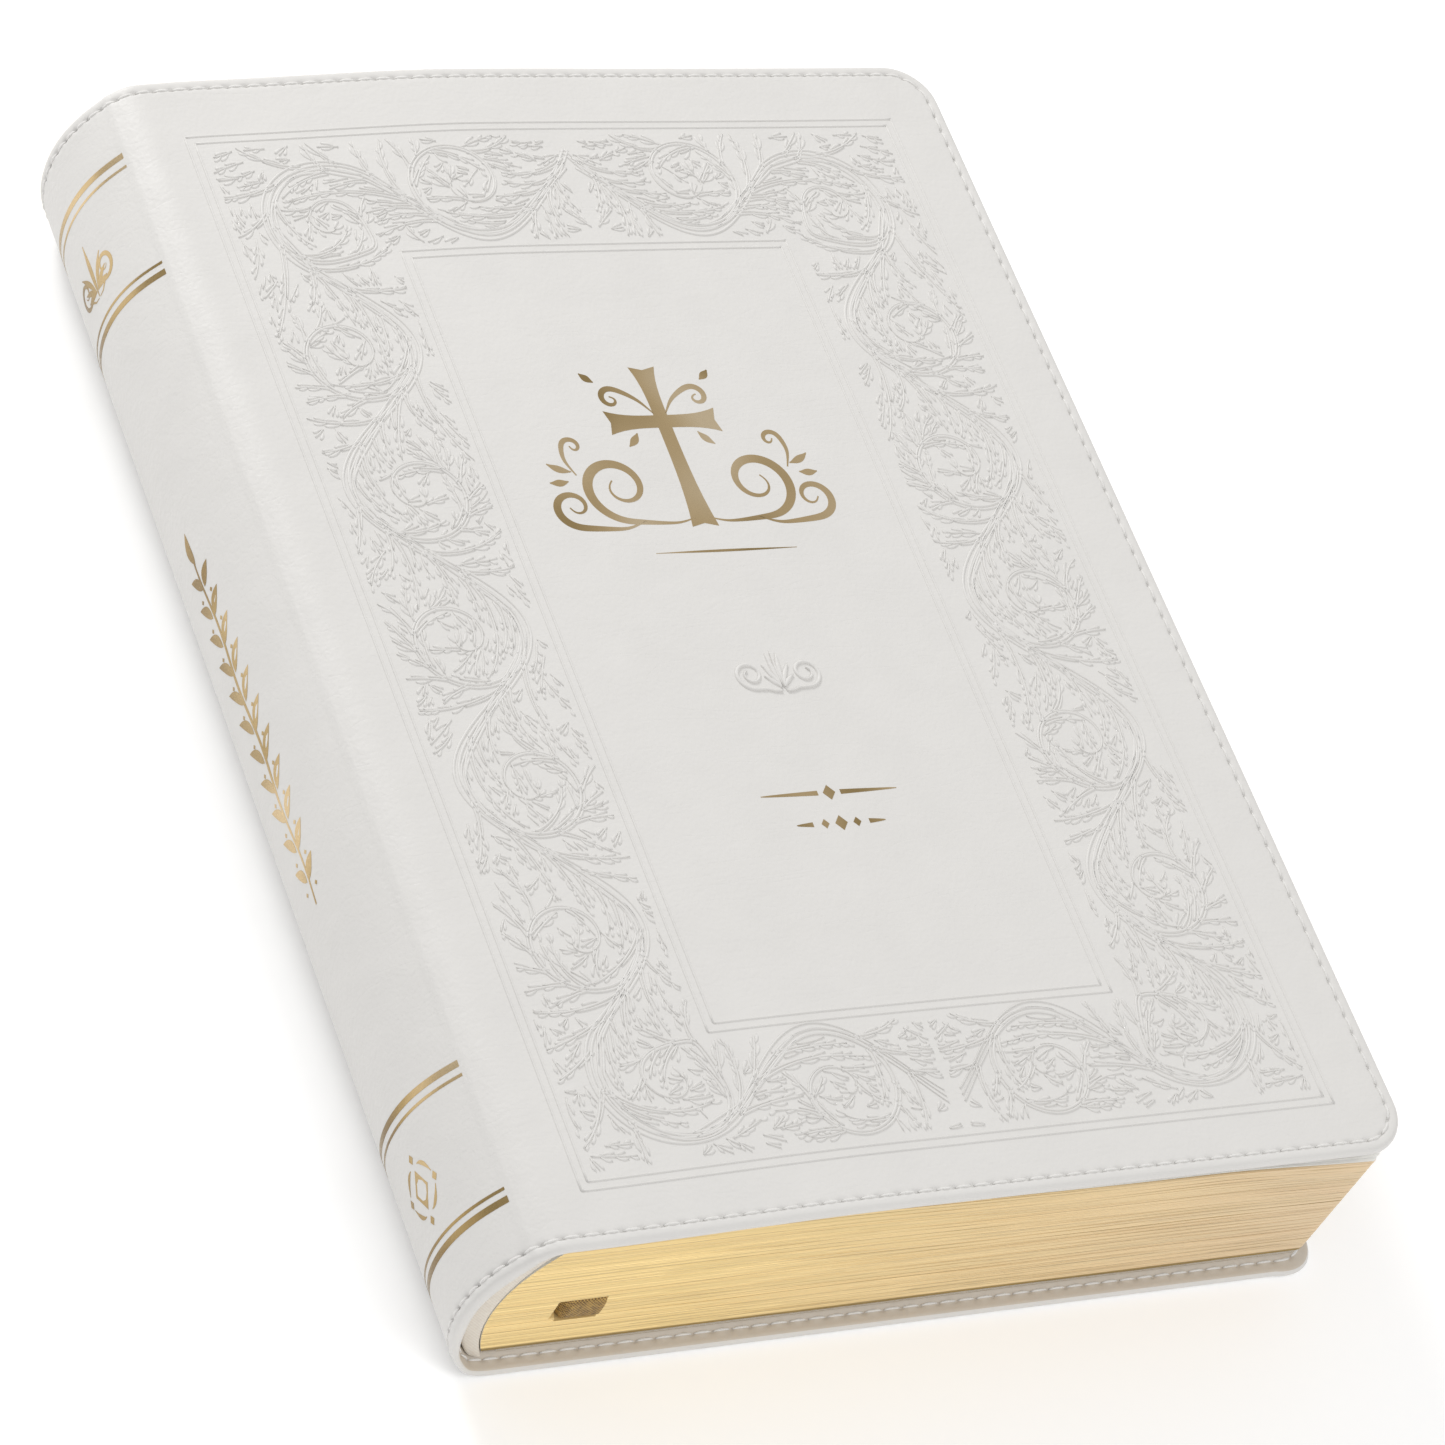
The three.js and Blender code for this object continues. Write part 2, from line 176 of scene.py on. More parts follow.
class Finish:
    """A material made of nodes. Places are millimetres on the object at rest."""

    def __init__(self, name, colour, roughness, metallic=0.0, cad=False):
        self.material = bpy.data.materials.new(name)
        self.material.use_nodes = True
        self.tree = self.material.node_tree
        self.shader = self.tree.nodes["Principled BSDF"]
        self.set("Base Color", (*colour, 1))
        self.set("Roughness", roughness)
        self.set("Metallic", metallic)
        self.place = self.rest_place(cad)

    def set(self, socket, value):
        self.shader.inputs[socket].default_value = value

    def link(self, source, target):
        self.tree.links.new(source, target)

    def add(self, kind, inputs=(), **settings):
        node = self.tree.nodes.new(kind)
        for key, value in settings.items():
            setattr(node, key, value)
        for key, value in dict(inputs).items():
            if isinstance(value, bpy.types.NodeSocket):
                self.link(value, node.inputs[key])
            else:
                node.inputs[key].default_value = value
        return node

    def rest_place(self, cad):
        if not cad:
            return self.add("ShaderNodeAttribute", attribute_name="rest_mm").outputs["Vector"]
        place = self.add("ShaderNodeTexCoord").outputs["Object"]
        node = self.add("ShaderNodeVectorMath", {0: place, "Scale": 1 / MM}, operation="SCALE")
        return node.outputs["Vector"]

    def stretched(self, scale, turn=(0, 0, 0)):
        inputs = {"Vector": self.place, "Scale": scale, "Rotation": turn}
        return self.add("ShaderNodeMapping", inputs).outputs["Vector"]

    def noise(self, scale, detail=2.0, place=None, distortion=0.0):
        inputs = {"Vector": place or self.place, "Scale": scale, "Detail": detail,
                  "Distortion": distortion}
        return self.add("ShaderNodeTexNoise", inputs).outputs["Fac"]

    def cells(self, scale, place):
        inputs = {"Vector": place, "Scale": scale}
        return self.add("ShaderNodeTexVoronoi", inputs, feature="SMOOTH_F1").outputs["Distance"]

    def maths(self, operation, first, second=0.0):
        inputs = {0: first, 1: second}
        return self.add("ShaderNodeMath", inputs, operation=operation).outputs["Value"]

    def spread(self, value, low, high, to_low=0.0, to_high=1.0):
        inputs = {"Value": value, "From Min": low, "From Max": high, "To Min": to_low,
                  "To Max": to_high}
        return self.add("ShaderNodeMapRange", inputs).outputs["Result"]

    def colours(self, factor, stops):
        ramp = self.add("ShaderNodeValToRGB", {"Fac": factor})
        elements = ramp.color_ramp.elements
        while len(elements) < len(stops):
            elements.new(0.5)
        for element, (position, colour) in zip(elements, stops):
            element.position = position
            element.color = (*colour, 1)
        return ramp.outputs["Color"]

    def mixed(self, factor, first, second):
        node = self.add("ShaderNodeMix", data_type="RGBA")
        for key, value in ((0, factor), (6, first), (7, second)):
            if isinstance(value, bpy.types.NodeSocket):
                self.link(value, node.inputs[key])
            else:
                node.inputs[key].default_value = value if key == 0 else (*value, 1)
        return node.outputs[2]

    def colour_from(self, socket):
        self.link(socket, self.shader.inputs["Base Color"])

    def roughness_from(self, socket):
        self.link(socket, self.shader.inputs["Roughness"])

    def bumps(self, *layers):
        """Layers of (height, depth in millimetres), the broadest first."""
        normal = None
        for height, depth in layers:
            inputs = {"Height": height, "Distance": depth * MM, "Strength": 1.0}
            if normal:
                inputs["Normal"] = normal
            normal = self.add("ShaderNodeBump", inputs).outputs["Normal"]
        self.link(normal, self.shader.inputs["Normal"])


def leather(name, tint):
    """Soft leather: a pebbled grain, fine pores, slow hollows and faint folds."""
    finish = Finish(name, tint, 0.5)
    finish.set("Specular IOR Level", 0.42)
    warp = finish.noise(0.35, 3)
    shifted = finish.add("ShaderNodeVectorMath", {0: finish.place, 1: warp}, operation="ADD")
    grain = finish.cells(1.35, shifted.outputs["Vector"])
    fine = finish.noise(3.1, 3)
    soft = finish.noise(0.11, 3)
    folds = finish.noise(1.0, 2, finish.stretched((0.03, 0.16, 0.1), (0, 0, 0.5)), 1.5)
    fold_line = finish.maths("ABSOLUTE", finish.maths("SUBTRACT", folds, 0.5))
    fold_height = finish.spread(fold_line, 0.0, 0.035)
    shade = finish.spread(soft, 0.3, 0.7)
    finish.colour_from(finish.mixed(shade, scaled(tint, 0.985), scaled(tint, 1.008)))
    finish.roughness_from(finish.spread(fine, 0.3, 0.7, 0.44, 0.58))
    finish.bumps((soft, 0.25), (fold_height, 0.012), (grain, 0.05), (fine, 0.02))
    return finish.material


def foil(name):
    """Gold foil, a little crinkled: it runs from dark to pale with height and in slow sweeps, a
    painted reflection of dark and bright surroundings.
    """
    finish = Finish(name, (0.6, 0.45, 0.25), 0.3, 1.0)
    axes = finish.add("ShaderNodeSeparateXYZ", {0: finish.place}).outputs
    # The colour of the foil is a painted reflection: darker low on the spine, paler on the flat
    # cover, in slow sweeps.
    sweep = finish.noise(0.045, 1, finish.stretched((1.0, 0.8, 1.0), (0, 0, 0.7)))
    painted_reflection = finish.maths("ADD", finish.spread(sweep, 0.35, 0.65, 0.0, 0.6),
                        finish.spread(axes[2], 14, 36, 0.0, 0.4))
    stops = ((0.0, (0.19, 0.125, 0.05)), (0.4, (0.38, 0.27, 0.12)),
             (0.7, (0.60, 0.45, 0.25)), (1.0, (0.74, 0.60, 0.40)))
    finish.colour_from(finish.colours(painted_reflection, stops))
    crinkle = finish.noise(2.4, 3)
    finish.roughness_from(finish.spread(crinkle, 0.3, 0.7, 0.24, 0.36))
    finish.bumps((crinkle, 0.02))
    return finish.material


def gilt(name):
    """Gold on the edges of the pages: yellow at the back and a duller, darker beige at the
    fore-edge, which is painted shade from the overhanging cover.
    """
    finish = Finish(name, (0.83, 0.62, 0.30), 0.4, 0.5)
    axes = finish.add("ShaderNodeSeparateXYZ", {0: finish.place}).outputs
    height = finish.add("ShaderNodeAttribute", attribute_name="leaf_mm").outputs["Fac"]
    towards_fore = finish.spread(axes[0], -45, 80)
    broad = finish.noise(1.0, 2, finish.stretched((0.02, 0.02, 0.35)))
    drift = finish.noise(1.0, 1, finish.stretched((0.012, 0.012, 0.5)))
    phase = finish.maths("ADD", finish.maths("MULTIPLY", height, math.tau / 1.25),
                         finish.maths("MULTIPLY", drift, 5.0))
    wave = finish.maths("SINE", phase)
    unlike = finish.spread(finish.noise(1.0, 1, finish.stretched((0.02, 0.02, 1.3))), 0.35, 0.6)
    # line: thin dark lines where the leaves part, stronger towards the fore-edge, painted shade in
    # the gaps between the leaves
    line = finish.maths("MULTIPLY", finish.spread(wave, 0.80, 1.0), unlike)
    line = finish.maths("MULTIPLY", line, finish.spread(towards_fore, 0, 1, 0.62, 0.85))
    # The fore colour, darker and duller, is painted shade from the cover that overhangs the
    # fore-edge end.
    back = finish.colours(broad, ((0.35, (0.85, 0.65, 0.30)), (0.65, (0.87, 0.67, 0.32))))
    fore = finish.colours(broad, ((0.35, (0.74, 0.58, 0.37)), (0.65, (0.77, 0.60, 0.39))))
    colour = finish.mixed(towards_fore, back, fore)
    colour = finish.mixed(line, colour, (0.40, 0.26, 0.10))
    # A dark band along the bottom 0.9 mm of the block, fading out by 1.3 mm: painted shade under the
    # last leaves.
    low = finish.spread(height, BLOCK_BOTTOM + 0.9, BLOCK_BOTTOM + 1.3)
    finish.colour_from(finish.mixed(low, (0.36, 0.24, 0.07), colour))
    finish.roughness_from(finish.spread(broad, 0.3, 0.7, 0.34, 0.46))
    finish.bumps((line, -0.03))
    return finish.material


LINE_PITCH = 2.9
COLUMNS_X, COLUMN_APART, COLUMN_HALF = 10.0, 33.0, 29.5
PRINT_HALF = 104.0
PRINT_EDGE = 0.2           # over how much the print fades at its margins


def printed(finish):
    """Plain grey bars in two columns, where the lines of print would be."""
    axes = finish.add("ShaderNodeSeparateXYZ", {0: finish.place}).outputs
    row = finish.maths("DIVIDE", axes[1], LINE_PITCH)
    along = finish.add("ShaderNodeCombineXYZ", {
        0: finish.maths("MULTIPLY", axes[0], 0.42),
        1: finish.maths("MULTIPLY", finish.maths("FLOOR", row), 7.3)}).outputs["Vector"]
    words = finish.spread(finish.noise(1.0, 0, along), 0.40, 0.43)
    bars = finish.spread(finish.maths("FRACT", row), 0.58, 0.50)
    column = finish.maths("ABSOLUTE", finish.maths("SUBTRACT", finish.maths(
        "ABSOLUTE", finish.maths("SUBTRACT", axes[0], COLUMNS_X)), COLUMN_APART))
    column = finish.spread(column, COLUMN_HALF + PRINT_EDGE, COLUMN_HALF)
    page = finish.spread(finish.maths("ABSOLUTE", axes[1]), PRINT_HALF + PRINT_EDGE, PRINT_HALF)
    ink = finish.maths("MULTIPLY", finish.maths("MULTIPLY", words, bars),
                       finish.maths("MULTIPLY", column, page))
    return finish.maths("MULTIPLY", ink, 0.55)


def paper(name, tint, cad=False, print_on=False):
    """Thin paper with its fibres, a little cloudy."""
    finish = Finish(name, tint, 0.85, cad=cad)
    fibre = finish.noise(2.2, 4)
    cloud = finish.noise(0.05, 2)
    colour = finish.mixed(finish.spread(cloud, 0.3, 0.7), scaled(tint, 0.95), tint)
    if print_on:
        colour = finish.mixed(printed(finish), colour, (0.22, 0.21, 0.20))
    finish.colour_from(colour)
    finish.bumps((fibre, 0.012))
    return finish.material


def board(name, cad=False):
    """Grey bookbinder's board."""
    finish = Finish(name, (0.33, 0.28, 0.23), 0.95, cad=cad)
    fibre = finish.noise(1.4, 5)
    stops = ((0.3, (0.24, 0.20, 0.16)), (0.7, (0.40, 0.35, 0.29)))
    finish.colour_from(finish.colours(fibre, stops))
    finish.bumps((fibre, 0.08))
    return finish.material


def thread(name, tint):
    """Twisted sewing thread."""
    finish = Finish(name, tint, 0.6)
    twist = finish.noise(5.0, 2, finish.stretched((1, 1, 1), (0, 0, 0.6)))
    finish.colour_from(finish.mixed(finish.spread(twist, 0.35, 0.65), scaled(tint, 0.86), tint))
    finish.set("Sheen Weight", 0.2)
    finish.bumps((twist, 0.05))
    return finish.material


def woven(name, dark, light, ribs, depth):
    """A narrow woven fabric, painted darker in the hollows between its ribs. ribs is the number of
    ribs in a millimetre along X, Y and Z.
    """
    finish = Finish(name, light, 0.5)
    place = finish.stretched(tuple(math.tau * r for r in ribs))
    parts = finish.add("ShaderNodeSeparateXYZ", {0: place})
    waves = [finish.maths("SINE", parts.outputs[i]) for i in range(3) if ribs[i]]
    height = finish.spread(finish.maths("MULTIPLY", *waves), -1, 1)
    rib_shade_and_mottle = finish.maths("ADD", height, finish.spread(finish.noise(1.5, 3), 0.3, 0.7, -0.3, 0.3))
    # Darker in the hollows between the ribs: painted shade, mottled at random by the noise.
    finish.colour_from(finish.colours(rib_shade_and_mottle, ((0.15, dark), (0.85, light))))
    finish.bumps((height, depth))
    return finish.material


LEATHER = leather("leather_white", (0.688, 0.673, 0.650))
# The darker tan of the cover's underside and inner faces, where they face the pages: painted shade
# with the gold light that the page edges throw on it.
LEATHER_IN_PAINTED_SHADE = leather("leather_turned_in_painted_shade", (0.560, 0.500, 0.425))
FOIL = foil("foil_gold")
GILT = gilt("gilt_edges")
PAPER = paper("paper_pages", (0.82, 0.80, 0.74), print_on=True)
ENDPAPER = paper("paper_end", (0.88, 0.87, 0.84))
ENDPAPER_CAD = paper("paper_end_glued", (0.88, 0.87, 0.84), cad=True)
BOARD = board("board_grey")
BOARD_CAD = board("board_grey_back", cad=True)
THREAD = thread("thread_white", (0.78, 0.765, 0.74))
RIBBON = woven("ribbon_satin", (0.12, 0.06, 0.012), (0.50, 0.31, 0.08), (1.7, 0, 1.9), 0.12)
BAND = woven("band_cotton", (0.66, 0.60, 0.52), (0.74, 0.69, 0.61), (1.6, 0, 1.6), 0.02)
MULL = woven("lining_mull", (0.50, 0.47, 0.42), (0.72, 0.69, 0.63), (0, 0.9, 0.9), 0.08)


# ---- mesh helpers ---------------------------------------------------------------------------

def make_piece(name, points, faces, materials, sharp=None, face_materials=None):
    """A closed mesh from points in millimetres, with its place at rest kept for its materials."""
    points = np.asarray(points, float)
    mesh = bpy.data.meshes.new(name)
    mesh.from_pydata((points * MM).tolist(), [], faces)
    for material in materials:
        mesh.materials.append(material)
    if face_materials is not None:
        mesh.polygons.foreach_set("material_index", face_materials)
    form = bmesh.new()
    form.from_mesh(mesh)
    bmesh.ops.recalc_face_normals(form, faces=form.faces)
    form.to_mesh(mesh)
    form.free()
    rest = mesh.attributes.new("rest_mm", "FLOAT_VECTOR", "POINT")
    rest.data.foreach_set("vector", points.astype(np.float32).ravel())
    mesh.shade_smooth()
    if sharp:
        mesh.set_sharp_from_angle(angle=math.radians(sharp))
    mesh.update()
    piece = bpy.data.objects.new(name, mesh)
    scene.collection.objects.link(piece)
    return piece


def smooth(t):
    t = np.clip(t, 0, 1)
    return t * t * (3 - 2 * t)


def profile(s):
    """Outside of the closed cover in X-Z at s, with its outward normal."""
    s = np.asarray(s, float)
    shoulder = math.pi / 2 + np.clip(s - PANEL, 0, SHOULDER_RUN) / SHOULDER_RADIUS
    spine = math.pi - SHOULDER_ANGLE + np.maximum(s - CREASE, 0) / SPINE_RADIUS
    angle = np.where(s < CREASE, shoulder, spine)
    on_spine = s >= CREASE
    radius = np.where(on_spine, SPINE_RADIUS, SHOULDER_RADIUS)
    centre_x = np.where(on_spine, SPINE_CENTRE[0], SHOULDER_X)
    centre_z = np.where(on_spine, SPINE_CENTRE[1], THICK - SHOULDER_RADIUS)
    x = centre_x + radius * np.cos(angle) + np.maximum(PANEL - s, 0)
    z = centre_z + radius * np.sin(angle)
    return x, z, np.cos(angle), np.sin(angle)


def swell(s, y):
    """How far the soft leather stands proud of the flat cover."""
    wave = np.sin(s / 17 + np.sin(y / 23)) * np.sin(y / 29 + 1.3 * np.sin(s / 31))
    return (0.10 + 0.10 * wave) * smooth((PANEL - s) / 20)


DROOP_TAIL, DROOP_HEAD = 1.8, 3.2     # how far the front cover hangs at its fold
DROOP_RUN = 62             # over how much of the cover, and of the spine past its fold
DROOP_ON_SPINE = 22
HEAD_DIP = 2.2             # how far the head of the spine is drawn in
HEAD_RUN = 60              # over how much of its length, and of the way round it
HEAD_TURN = 36


def sink(s, y):
    """The droop of the pages and the front cover towards the fold."""
    size = (DROOP_HEAD + DROOP_TAIL) / 2 + (DROOP_HEAD - DROOP_TAIL) / 2 * y / HALF
    return size * smooth((s - PANEL + DROOP_RUN) / DROOP_RUN)


def droop(s, y):
    """The droop of the leather, which ends on the spine."""
    return sink(s, y) * (1 - smooth((s - CREASE + 4) / DROOP_ON_SPINE))


def head_dip(s, y):
    return HEAD_DIP * smooth((s - PANEL + 12) / HEAD_TURN) * smooth((y - HALF + HEAD_RUN) / HEAD_RUN)


def back_corner(x, y):
    """0 along the edges of the back cover and 1 at the point of its corner."""
    corner = (x - FORE_X + CORNER) * (np.abs(y) - HALF + CORNER) / (CORNER ** 2 / 2)
    return np.where((x > FORE_X - CORNER) & (np.abs(y) > HALF - CORNER), corner, 0)


def wrapped(s, y, depth, back=False):
    """Points at a depth under the outside of the leather."""
    s, y, depth = np.broadcast_arrays(*(np.asarray(v, float) for v in (s, y, depth)))
    x, z, normal_x, normal_z = profile(s)
    if not back:
        ridge = FOLD_RIDGE * np.exp(-((s - FOLD_S) / FOLD_RIDGE_WIDTH) ** 2)
        depth = depth - swell(s, y) - ridge * (0.8 + 0.2 * np.sin(y / 4))
    x, z = x - normal_x * depth, z - normal_z * depth
    if back:
        out = back_corner(x, y) * BACK_CORNER_OUT * 0.7
        x = x + BACK_LONGER * smooth((PANEL - 20 - s) / 100) + out
        y = y + np.sign(y) * out
        z = THICK - z
    else:
        z = z - droop(s, y)
    return np.stack((x, y - head_dip(s, y), z), axis=-1)


def crease_line(s, back, reach):
    """Two points either side of a crease, along the leather."""
    x, z, normal_x, normal_z = (float(v) for v in profile(s))
    along = (-normal_z, normal_x)
    ends = []
    for step in (reach, -reach):
        point_z = z + along[1] * step
        point_z = THICK - point_z if back else point_z - float(droop(s, 0))
        ends.append(((x + along[0] * step) * MM, 0, point_z * MM))
    return ends


CREASE_REACH = 4.5


def blend_cover(piece, back):
    """Bakes the transform of a piece of the cover into its mesh. The points either side of its
    crease are worked out but not used.
    """
    if back:
        spine_side, panel_side = crease_line(BACK_CREASE_S, True, CREASE_REACH)
        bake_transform(piece)
        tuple(panel_side)
        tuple(spine_side)
    else:
        spine_side, panel_side = crease_line(CREASE, False, CREASE_REACH)
        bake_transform(piece)
        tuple(spine_side)
        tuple(panel_side)


def lofted(rings, first_index=0):
    """Faces of a tube through equal rings of points, closed at both ends."""
    count, sides = len(rings), len(rings[0])
    faces = []
    for i in range(count - 1):
        for j in range(sides):
            k = (j + 1) % sides
            a, b = first_index + i * sides, first_index + (i + 1) * sides
            faces.append((a + j, a + k, b + k, b + j))
    faces.append(tuple(first_index + j for j in reversed(range(sides))))
    last = first_index + (count - 1) * sides
    faces.append(tuple(last + j for j in range(sides)))
    return faces


class Strokes:
    """Lines drawn on the leather, gathered into one mesh. A line runs through (s, y) points."""

    def __init__(self, section, back=False):
        self.section = section
        self.back = back
        self.points, self.faces = [], []

    def draw(self, line, half_widths, heights, base=0.0):
        """A closed bar along a line, standing on the leather or, at base, under it."""
        line = np.asarray(line, float)
        along = np.gradient(line, axis=0)
        along /= np.linalg.norm(along, axis=1)[:, None] + 1e-9
        across = np.stack((-along[:, 1], along[:, 0]), axis=1)
        half_widths = np.broadcast_to(half_widths, len(line))
        heights = np.broadcast_to(heights, len(line))
        base = np.broadcast_to(base, len(line))
        rings = []
        for i, point in enumerate(line):
            sides = point + np.outer([u for u, _ in self.section], across[i] * half_widths[i])
            depth = base[i] - heights[i] * np.array([v for _, v in self.section])
            rings.append(wrapped(sides[:, 0], sides[:, 1], depth, self.back))
        self.faces += lofted(rings, sum(len(p) for p in self.points))
        self.points.append(np.concatenate(rings))

    def piece(self, name, material, sharp=None):
        return make_piece(name, np.concatenate(self.points), self.faces, [material], sharp)


# ---- the leather ----------------------------------------------------------------------------

SIDE_COUNT, CORNER_COUNT, FORE_COUNT = (
    STITCHES[stretch] * STEPS for stretch in ("side", "corner", "fore"))
FORE_START = SIDE_COUNT + CORNER_COUNT
FORE_END = FORE_START + FORE_COUNT


def edge_columns():
    """The mesh columns round the edge, from the seam at the tail to the seam at the head."""
    side = np.linspace(SEAM, CORNER, SIDE_COUNT + 1)
    fore = np.linspace(CORNER - HALF, HALF - CORNER, FORE_COUNT + 1)
    turn = np.linspace(0, math.pi / 2, CORNER_COUNT + 1)
    columns = [("tail", s) for s in side]
    columns += [("tail_corner", angle) for angle in turn[1:]]
    columns += [("fore", y) for y in fore[1:]]
    columns += [("head_corner", angle) for angle in turn[1:]]
    columns += [("head", s) for s in side[::-1][1:]]
    return columns


def column_point(column, inset):
    """The point (s, y) of a column that lies inset from the edge."""
    kind, value = column
    rest = CORNER - inset
    if kind == "tail":
        return value, inset - HALF
    if kind == "tail_corner":
        return CORNER - rest * math.sin(value), CORNER - HALF - rest * math.cos(value)
    if kind == "fore":
        return inset, value
    if kind == "head_corner":
        return CORNER - rest * math.cos(value), HALF - CORNER + rest * math.sin(value)
    return value, HALF - inset


# From this ring on the leather takes the darker tan tint of painted shade and gold bounce light.
RIM_RING = 18              # the ring from which the leather faces the pages
RIM = 1.0                  # how far in from the edge its roundness reaches
GROOVE = 0.36              # half the width of the groove that the stitches pull in
GROOVE_DEPTH = 0.05
HOLE_DEPTH = 0.60          # how much deeper it is where the thread goes through
CORE = 2.0                 # thickness of the cover where it is filled, beside the fold
LIP_FRONT, LIP_SEAM, LIP_BACK = 4.1, 3.4, 1.9     # the turned edge round the spine


def edge_depth(inset):
    """Thickness of the turned edge, which swells from its rim inwards."""
    return EDGE + (LIP - EDGE) * float(smooth((inset - RIM) / 2.6))


def edge_rings():
    """(inset, depth, pit) of each ring of the turned edge, from the outside to the inside."""
    def pit(inset):
        return math.exp(-((inset - STITCH_INSET) / GROOVE) ** 2)

    outside = (9, 6.5, 4.6, 3.5, 3.0, 2.65, 2.4, 2.2, 2.0, 1.75, 1.4)
    rings = [(inset, 0.0, pit(inset)) for inset in outside]
    for angle in math.pi * (0.5 - np.arange(10) / 9):
        rings.append((RIM * (1 - math.cos(angle)), EDGE / 2 * (1 - math.sin(angle)), 0))
    rings += [(inset, edge_depth(inset), -pit(inset)) for inset in outside[:2:-1]]
    rings += [(TURN_IN - 0.15, LIP, 0), (TURN_IN, LIP - 0.15, 0), (TURN_IN + 0.05, SKIN + 0.1, 0),
              (TURN_IN + 0.3, SKIN, 0), (CORNER, SKIN, 0)]
    return rings


def lip_scale(s, back):
    """The turned edge is thicker over the upper spine and thin towards the back crease."""
    if back:
        spine = LIP_BACK + (LIP_SEAM - LIP_BACK) * smooth((s - BACK_CREASE_S) / 13)
        share = smooth((s - PANEL - 1) / 5)
    else:
        spine = LIP_FRONT - (LIP_FRONT - LIP_SEAM) * smooth((s - CREASE - 6) / 12)
        share = smooth((s - CREASE + 4) / 9)
    return (LIP + (spine - LIP) * share) / LIP


def inside_depth(s):
    """Depth of the inside of the leather away from the edges."""
    solid = smooth((s - (PANEL - 4.4)) / 0.9) * smooth((CREASE + 2.5 - s) / 5)
    return SKIN + (CORE - SKIN) * solid


def cover_leather(name, back):
    """One cover with its half of the spine: the turned edge and the field inside it."""
    columns = edge_columns()
    rings = edge_rings()
    last = len(rings) - 1
    end = len(columns) - 1
    points, index = [], {}

    def vertex(key, s, y, depth):
        if key not in index:
            index[key] = len(points)
            points.append((s, y, depth))
        return index[key]

    def edge_vertex(k, r):
        inset, depth, pit = rings[r]
        s, y = column_point(columns[k], inset)
        key = (k, r)
        if inset == CORNER and SIDE_COUNT <= k <= FORE_START:
            key = ("tail_corner", r)
        if inset == CORNER and FORE_END <= k <= FORE_END + CORNER_COUNT:
            key = ("head_corner", r)
        groove = GROOVE_DEPTH + (HOLE_DEPTH if k % STEPS == 0 else 0.0)
        depth = depth * float(lip_scale(s, back)) + pit * groove
        if r == last:
            depth = inside_depth(s)
        return vertex(key, s, y, depth)

    faces, kinds = [], []
    for k in range(end):
        for r in range(last):
            loop = (edge_vertex(k, r), edge_vertex(k + 1, r), edge_vertex(k + 1, r + 1),
                    edge_vertex(k, r + 1))
            loop = tuple(dict.fromkeys(loop))
            if len(loop) > 2:
                faces.append(loop)
                kinds.append(int(r >= RIM_RING))

    # the field inside the edge: lines in s are wide apart on the flat and close on the curves
    lines_s = [i for i in range(SIDE_COUNT + 1) if i % STEPS == 0 or columns[i][1] > PANEL - 8]
    lines_y = list(range(0, FORE_COUNT + 1, STEPS))

    def field_vertex(i, j, r):
        """Line i counts from the seam to the fore-edge, and j from tail to head."""
        if j == 0:
            return edge_vertex(i, r)
        if j == FORE_COUNT:
            return edge_vertex(end - i, r)
        if i == SIDE_COUNT:
            return edge_vertex(FORE_START + j, r)
        s, y = columns[i][1], columns[FORE_START + j][1]
        return vertex(("field", i, j, r), s, y, 0.0 if r == 0 else inside_depth(s))

    for r in (0, last):
        for i0, i1 in zip(lines_s, lines_s[1:]):
            for j0, j1 in zip(lines_y, lines_y[1:]):
                tail = range(i0, i1 + 1) if j0 == 0 else (i0, i1)
                fore = range(j0 + 1, j1 + 1) if i1 == SIDE_COUNT else (j1,)
                head = range(i1 - 1, i0 - 1, -1) if j1 == FORE_COUNT else (i0,)
                loop = [(i, j0) for i in tail] + [(i1, j) for j in fore]
                loop += [(i, j1) for i in head]
                faces.append(tuple(dict.fromkeys(field_vertex(i, j, r) for i, j in loop)))
                kinds.append(int(r == last))

    seam = [edge_vertex(0, r) for r in range(last + 1)]
    seam += [field_vertex(0, j, last) for j in lines_y[1:-1]]
    seam += [edge_vertex(end, r) for r in range(last, -1, -1)]
    seam += [field_vertex(0, j, 0) for j in lines_y[-2:0:-1]]
    faces.append(tuple(seam))
    kinds.append(1)

    flat = np.array(points)
    places = wrapped(flat[:, 0], flat[:, 1], flat[:, 2], back)
    piece = make_piece(name, places, faces, [LEATHER, LEATHER_IN_PAINTED_SHADE], 65, kinds)
    blend_cover(piece, back)
    return piece


THREAD_SECTION = [(math.cos(a), math.sin(a)) for a in np.linspace(0, math.tau, 8, endpoint=False)]


def cover_stitching(name, back):
    """Short stitches along the edge, outside and inside, sunk at their ends."""
    edge = np.array([column_point(column, STITCH_INSET) for column in edge_columns()])
    rows = Strokes(THREAD_SECTION, back)
    arch = np.sin(np.linspace(0, math.pi, 8))
    sunk = 0.30 - 0.31 * arch ** 0.6
    for depth, direction in ((0.0, 1), (edge_depth(STITCH_INSET), -1)):
        for first in range(0, len(edge) - 1, STEPS):
            k = first + np.linspace(0.3, STEPS - 0.3, 8)
            line = np.stack([np.interp(k, np.arange(len(edge)), edge[:, i]) for i in (0, 1)], 1)
            rows.draw(line, 0.10 + 0.15 * arch ** 0.5, 0.08 + 0.09 * arch ** 0.5,
                      depth * lip_scale(line[:, 0], back) + direction * sunk)
    piece = rows.piece(name, THREAD)
    blend_cover(piece, back)
    return piece


# ---- pressed ornament -----------------------------------------------------------------------

def on_front(points):
    """(x, y) on the flat front cover as (s, y)."""
    return np.asarray(points, float) * (-1, 1) + (FORE_X, 0)


